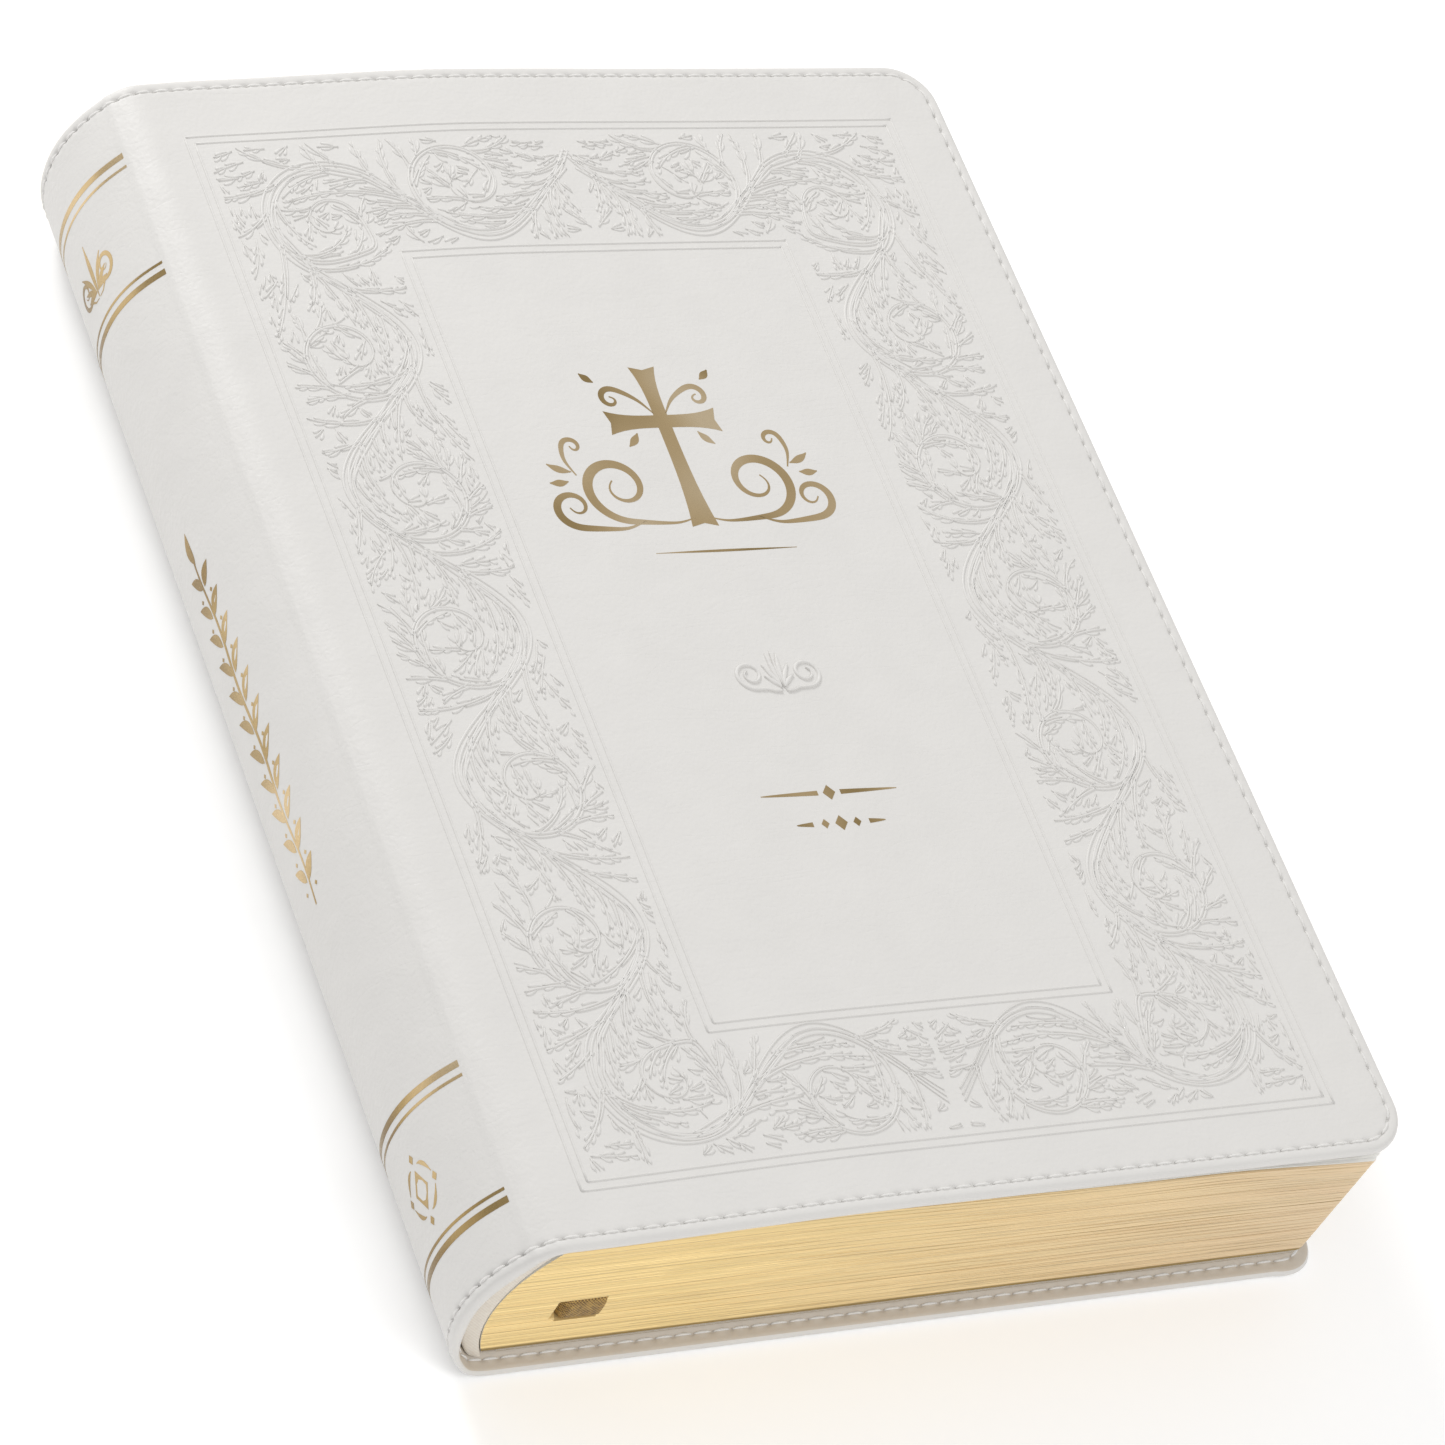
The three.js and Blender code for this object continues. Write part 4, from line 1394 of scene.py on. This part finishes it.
def keep_leaf_height(piece, heights):
    """The height of each point before the pages sank, which the dark lines of the gilt and its dark
    bottom band, both painted shade, follow.
    """
    kept = piece.data.attributes.new("leaf_mm", "FLOAT", "POINT")
    kept.data.foreach_set("value", np.asarray(heights, np.float32))


def section_piece(number, rng):
    """One section of the pages, gilt on three sides, built up in bundles of leaves."""
    top = BLOCK_TOP - (number - 1) * PITCH
    bottom = top - PITCH if number < SECTIONS else BLOCK_BOTTOM
    z_levels, insets, grooves = [], [], []
    step = (top - bottom) / LAYERS
    for layer in range(LAYERS):
        z = bottom + layer * step
        edge = rng.uniform(0.0, 0.05)
        z_levels += [z, z + 0.16 * step, z + 0.84 * step]
        insets += [rng.uniform(0.06, 0.12), edge, edge + rng.uniform(0, 0.02)]
        grooves += [rng.choice((0.02, 0.10, 0.34)), 0.0, 0.0]
    z_levels.append(top)
    insets.append(0.1)
    grooves.append(0.1)
    points = []
    for z, inset, groove in zip(z_levels, insets, grooves):
        curl_in = 0.2 * max(0.0, (BLOCK_BOTTOM + 1.2 - z) / 1.2) ** 1.4

        def cut(x, z=z, groove=groove):
            """Depth cut into the tail edge: the slit of the ribbon, and parted leaves."""
            slant = 0.5 * smooth((x - RIBBON_RIGHT + 1.2) / 1.2)
            low = RIBBON_LOW + (0.7 if x < RIBBON_LEFT + 1 else 0.0)
            inside = RIBBON_LEFT < x < RIBBON_RIGHT - slant and low < z < RIBBON_HIGH
            parted = groove * (0.35 + 0.65 * float(smooth((x + 50) / 110)))
            return SLIT_DEPTH if inside else parted

        left = float(page_back_x(z))
        ring = OUTLINE.ring(left, inset + curl_in, cut)
        wobble = 0.05 * np.sin(ring[:, 0] / 9 + ring[:, 1] / 13 + z * 7.0)
        wobble *= smooth((ring[:, 0] + 56) / 20)
        z_here = z + page_dip(ring[:, 0], z, ring[:, 1])
        z_here = z_here + (wobble if 0 < z - bottom < top - bottom else 0)
        points.append(np.column_stack((ring, z_here)))
    walls, ends = OUTLINE.faces(len(z_levels))
    materials = [0] * len(walls) + [1] * len(ends)
    turning = number <= TURNING_SECTIONS
    if turning:
        name = f"leaves_{number:02d}"
        nodes = (f"section_{number:02d}_leaves", f"section_{number:02d}_sewn_fold")
    else:
        name = f"pages_{number:02d}"
        nodes = (f"section_{number:02d}",)
    piece = make_piece(name, np.concatenate(points), walls + ends, [GILT, PAPER], 50, materials)
    keep_leaf_height(piece, np.repeat(z_levels, len(ring)))
    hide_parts(*nodes)
    if turning:
        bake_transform(piece)
    else:
        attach(piece, "spine_block")


def sheets_piece(name, left, layers, thickness, lift, inset, edge_material):
    """Loose endpapers: closed thin leaves one over another. lift(x, y, share) moves each in z."""
    points, faces, kinds = [], [], []
    for number, z in enumerate(layers):
        share = number / max(len(layers) - 1, 1)
        for edge in (z, z + thickness):
            ring = OUTLINE.ring(left, inset + 0.06 * number)
            points.append(np.column_stack((ring, edge + lift(ring[:, 0], ring[:, 1], share))))
        walls, ends = OUTLINE.faces(2, sum(len(p) for p in points[:-2]))
        faces += walls + ends
        kinds += [0] * len(walls) + [1] * len(ends)
    materials = [edge_material, ENDPAPER]
    return make_piece(name, np.concatenate(points), faces, materials, 50, kinds)


def endpapers():
    """The loose endpapers in front of the pages and behind them."""
    z = box_mm("front_flyleaf")[0][2]

    def flare(x, y, share):
        """The lower leaves follow the pages down and the top one stays under the cover."""
        under_cover = 0.12 * smooth((x - 30) / 50) + sink(FORE_X - x, y)
        return (1 - share) * page_dip(x, BLOCK_TOP, y) * 0.97 - share * under_cover

    layers = np.linspace(z - 0.15, z + 0.24, SHEETS)
    front = sheets_piece("front_flyleaves", -69.0, layers, 0.12, flare, 0.12, ENDPAPER)
    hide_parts("front_flyleaf")
    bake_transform(front)
    low, high = box_mm("back_flyleaf")
    layers = np.linspace(low[2] - 0.24, high[2] + 0.14, SHEETS)
    # Gilt edges all held at the height of the bottom of the block, so they take the gilt's dark
    # bottom band: painted shade under the pages.
    back = sheets_piece("back_flyleaves", low[0] - 1, layers, 0.13,
                        lambda x, y, share: 0 * x, 0.45, GILT)
    keep_leaf_height(back, np.full(len(back.data.vertices), low[2]))
    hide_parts("back_flyleaf")
    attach(back, "back_endpaper")


def ribbon_marker():
    """A satin ribbon laid between the pages and doubled back at the tail."""
    half_loop = 2.75
    thick = 0.32
    centre_z = (RIBBON_LOW + RIBBON_HIGH) / 2 - 0.15
    edge = -PAGE_HALF
    path = [(edge + 3.3, half_loop * 0.8), (edge + 2.0, half_loop)]
    for angle in np.linspace(math.pi / 2, math.pi * 1.5, 16):
        flat = abs(math.cos(angle)) ** 0.45
        path.append((edge + 0.9 - 1.3 * flat,
                     half_loop * math.copysign(abs(math.sin(angle)) ** 0.85, math.sin(angle))))
    path += [(edge + 2.0, -half_loop), (edge + 3.3, -half_loop * 0.8)]
    path = np.array(path)
    along = headings(path)
    normal = np.stack((along[:, 1], -along[:, 0]), 1)
    width = np.linspace(RIBBON_LEFT + 0.8, RIBBON_RIGHT - 0.25, 25)
    rings = []
    for (y, z), (ny, nz) in zip(path, normal):
        ring = []
        for side in (0, 1):
            xs = width if side == 0 else width[::-1]
            for x in xs:
                rib = 0.02 * math.sin(x * math.tau / 0.9)
                off = rib if side == 0 else -thick
                back_in = 2.2 * float(smooth((RIBBON_LEFT + 2.6 - x) / 1.8))
                lean = 0.25 * math.sin(x / 1.7)
                ring.append((x, y + ny * off + back_in, centre_z + z * (1 - 0.05 * back_in)
                             + nz * off + lean * 0.4))
        rings.append(ring)
    faces = lofted(rings)
    piece = make_piece("ribbon_folded", np.concatenate(rings), faces, [RIBBON], 50)
    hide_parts("ribbon_marker")
    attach(piece, "spine_block")


BAND_IN = box_mm("headband")[0][1]
BAND_OUT = BAND_IN + 1.9


def crescent(name, node, z_range, y_range, reach, material):
    """A built-up strip between the rounded back of the pages and the inside of the spine."""
    z_bottom, z_top = z_range
    y_low, y_high = y_range
    z = z_bottom + (z_top - z_bottom) * (0.5 - 0.5 * np.cos(np.linspace(0, math.pi, 40)))
    inner = page_back_x(z) - 0.25
    radius = WALL_RADIUS + 0.07 * np.maximum(SPINE_CENTRE[1] - z, 0)
    wall = SPINE_CENTRE[0] - np.sqrt(radius ** 2 - (z - SPINE_CENTRE[1]) ** 2)
    share = np.sqrt(np.clip(1 - (2 * (z - z_bottom) / (z_top - z_bottom) - 1) ** 40, 0.4, 1))
    outer = inner - np.clip(inner - wall, 0.3, reach) * share
    half = (inner - outer) / 2
    loop_x = np.concatenate((half, -half[::-1]))
    middle = np.concatenate(((inner + outer) / 2, (inner + outer)[::-1] / 2))
    loop_z = np.concatenate((z, z[::-1]))
    edge = 0.35
    rings = []
    for y, share in ((y_low, 0.6), (y_low + edge * 0.3, 0.9), (y_low + edge, 1.0),
                     (y_high - edge, 1.0), (y_high - edge * 0.3, 0.9), (y_high, 0.6)):
        rings.append(np.stack((middle + loop_x * share, np.full(len(loop_z), y), loop_z), 1))
    piece = make_piece(name, np.concatenate(rings), lofted(rings), [material], 60)
    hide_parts(node)
    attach(piece, "spine_block")


INLAY_DEPTHS = (1.05, 1.9)


def layer_in_cover(name, node, columns, depths, body, material, slot):
    """A layer inside the leather, laid along columns of (s, back)."""
    half = box_mm(node)[1][1]
    y = np.linspace(-half, half, 31)
    rings = []
    for s, back_side in columns:
        outer = wrapped(s, y, depths[0], back_side)
        inner = wrapped(s, y[::-1], depths[1], back_side)
        rings.append(np.concatenate((outer, inner)))
    piece = make_piece(name, np.concatenate(rings), lofted(rings), [material], 40)
    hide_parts(node)
    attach(piece, body)


def layers_in_cover():
    """The board and the glued endpaper of the front cover, and the inlay of the spine."""
    low, high = box_mm("front_cover_board")
    panel = [(s, False) for s in np.linspace(FORE_X - high[0], FORE_X - low[0], 40)]
    for name, node, material, slot in (
            ("front_board_bent", "front_cover_board", BOARD, "board"),
            ("front_pastedown_bent", "front_pastedown", ENDPAPER, "endpaper")):
        low, high = box_mm(node)
        layer_in_cover(name, node, panel, (THICK - high[2], THICK - low[2]), "front_cover",
                       material, slot)
    inlay = [(s, False) for s in np.linspace(CREASE + 3, SEAM, 12)[:-1]]
    inlay += [(s, True) for s in np.linspace(SEAM, BACK_CREASE_S + 3, 12)]
    layer_in_cover("spine_inlay_bent", "spine_inlay", inlay, INLAY_DEPTHS, "spine_block",
                   BOARD, "board")


def cad_finish(node, material):
    """Gives a CAD node that stays its material."""
    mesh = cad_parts[node].data
    mesh.materials.clear()
    mesh.materials.append(material)


def make_floor():
    """A plain white floor, which isn't part of the object."""
    form = bmesh.new()
    bmesh.ops.create_grid(form, x_segments=1, y_segments=1, size=FLOOR_HALF)
    mesh = bpy.data.meshes.new("floor")
    form.to_mesh(mesh)
    form.free()
    finish = Finish("floor_white", (0.97, 0.97, 0.97), 0.9, cad=True)
    finish.set("Emission Color", (1, 1, 1, 1))
    finish.set("Emission Strength", 0.12)
    mesh.materials.append(finish.material)
    floor = bpy.data.objects.new("floor", mesh)
    floor.location.z = FLOOR_Z
    scene.collection.objects.link(floor)


# ---- put it together ------------------------------------------------------------------------

make_camera()
make_studio()

front = cover_leather("cover_front_and_spine", back=False)
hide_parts("front_cover_leather", "spine_leather")
back = cover_leather("cover_back_and_spine", back=True)
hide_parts("back_cover_leather")
front_thread = cover_stitching("stitches_front", back=False)
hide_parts("front_cover_stitching", "spine_head_stitching",
            "spine_tail_stitching")
back_thread = cover_stitching("stitches_back", back=True)
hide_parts("back_cover_stitching")

pressed_frames()
pressed_vine()
pressed_fleuron()
foil_title()
foil_divider()
foil_spine_ornament()
foil_spine("foil_spine_front", back=False)
foil_spine("foil_spine_back", back=True)

page_random = random.Random(PAGES_SEED)
for section_number in range(1, SECTIONS + 1):
    section_piece(section_number, page_random)
endpapers()
ribbon_marker()
crescent("spine_lining_cloth", "spine_lining", (4.2, 32.4), (0.1 - BAND_IN, BAND_IN - 0.1), 4.0,
         MULL)
crescent("headband_cloth", "headband", (3.0, 32.0), (BAND_IN, BAND_OUT), 3.8, BAND)
crescent("tailband_cloth", "tailband", (3.0, 33.2), (-BAND_OUT, -BAND_IN), 3.8, BAND)
layers_in_cover()
cad_finish("back_cover_board", BOARD_CAD)
cad_finish("back_pastedown", ENDPAPER_CAD)
make_floor()
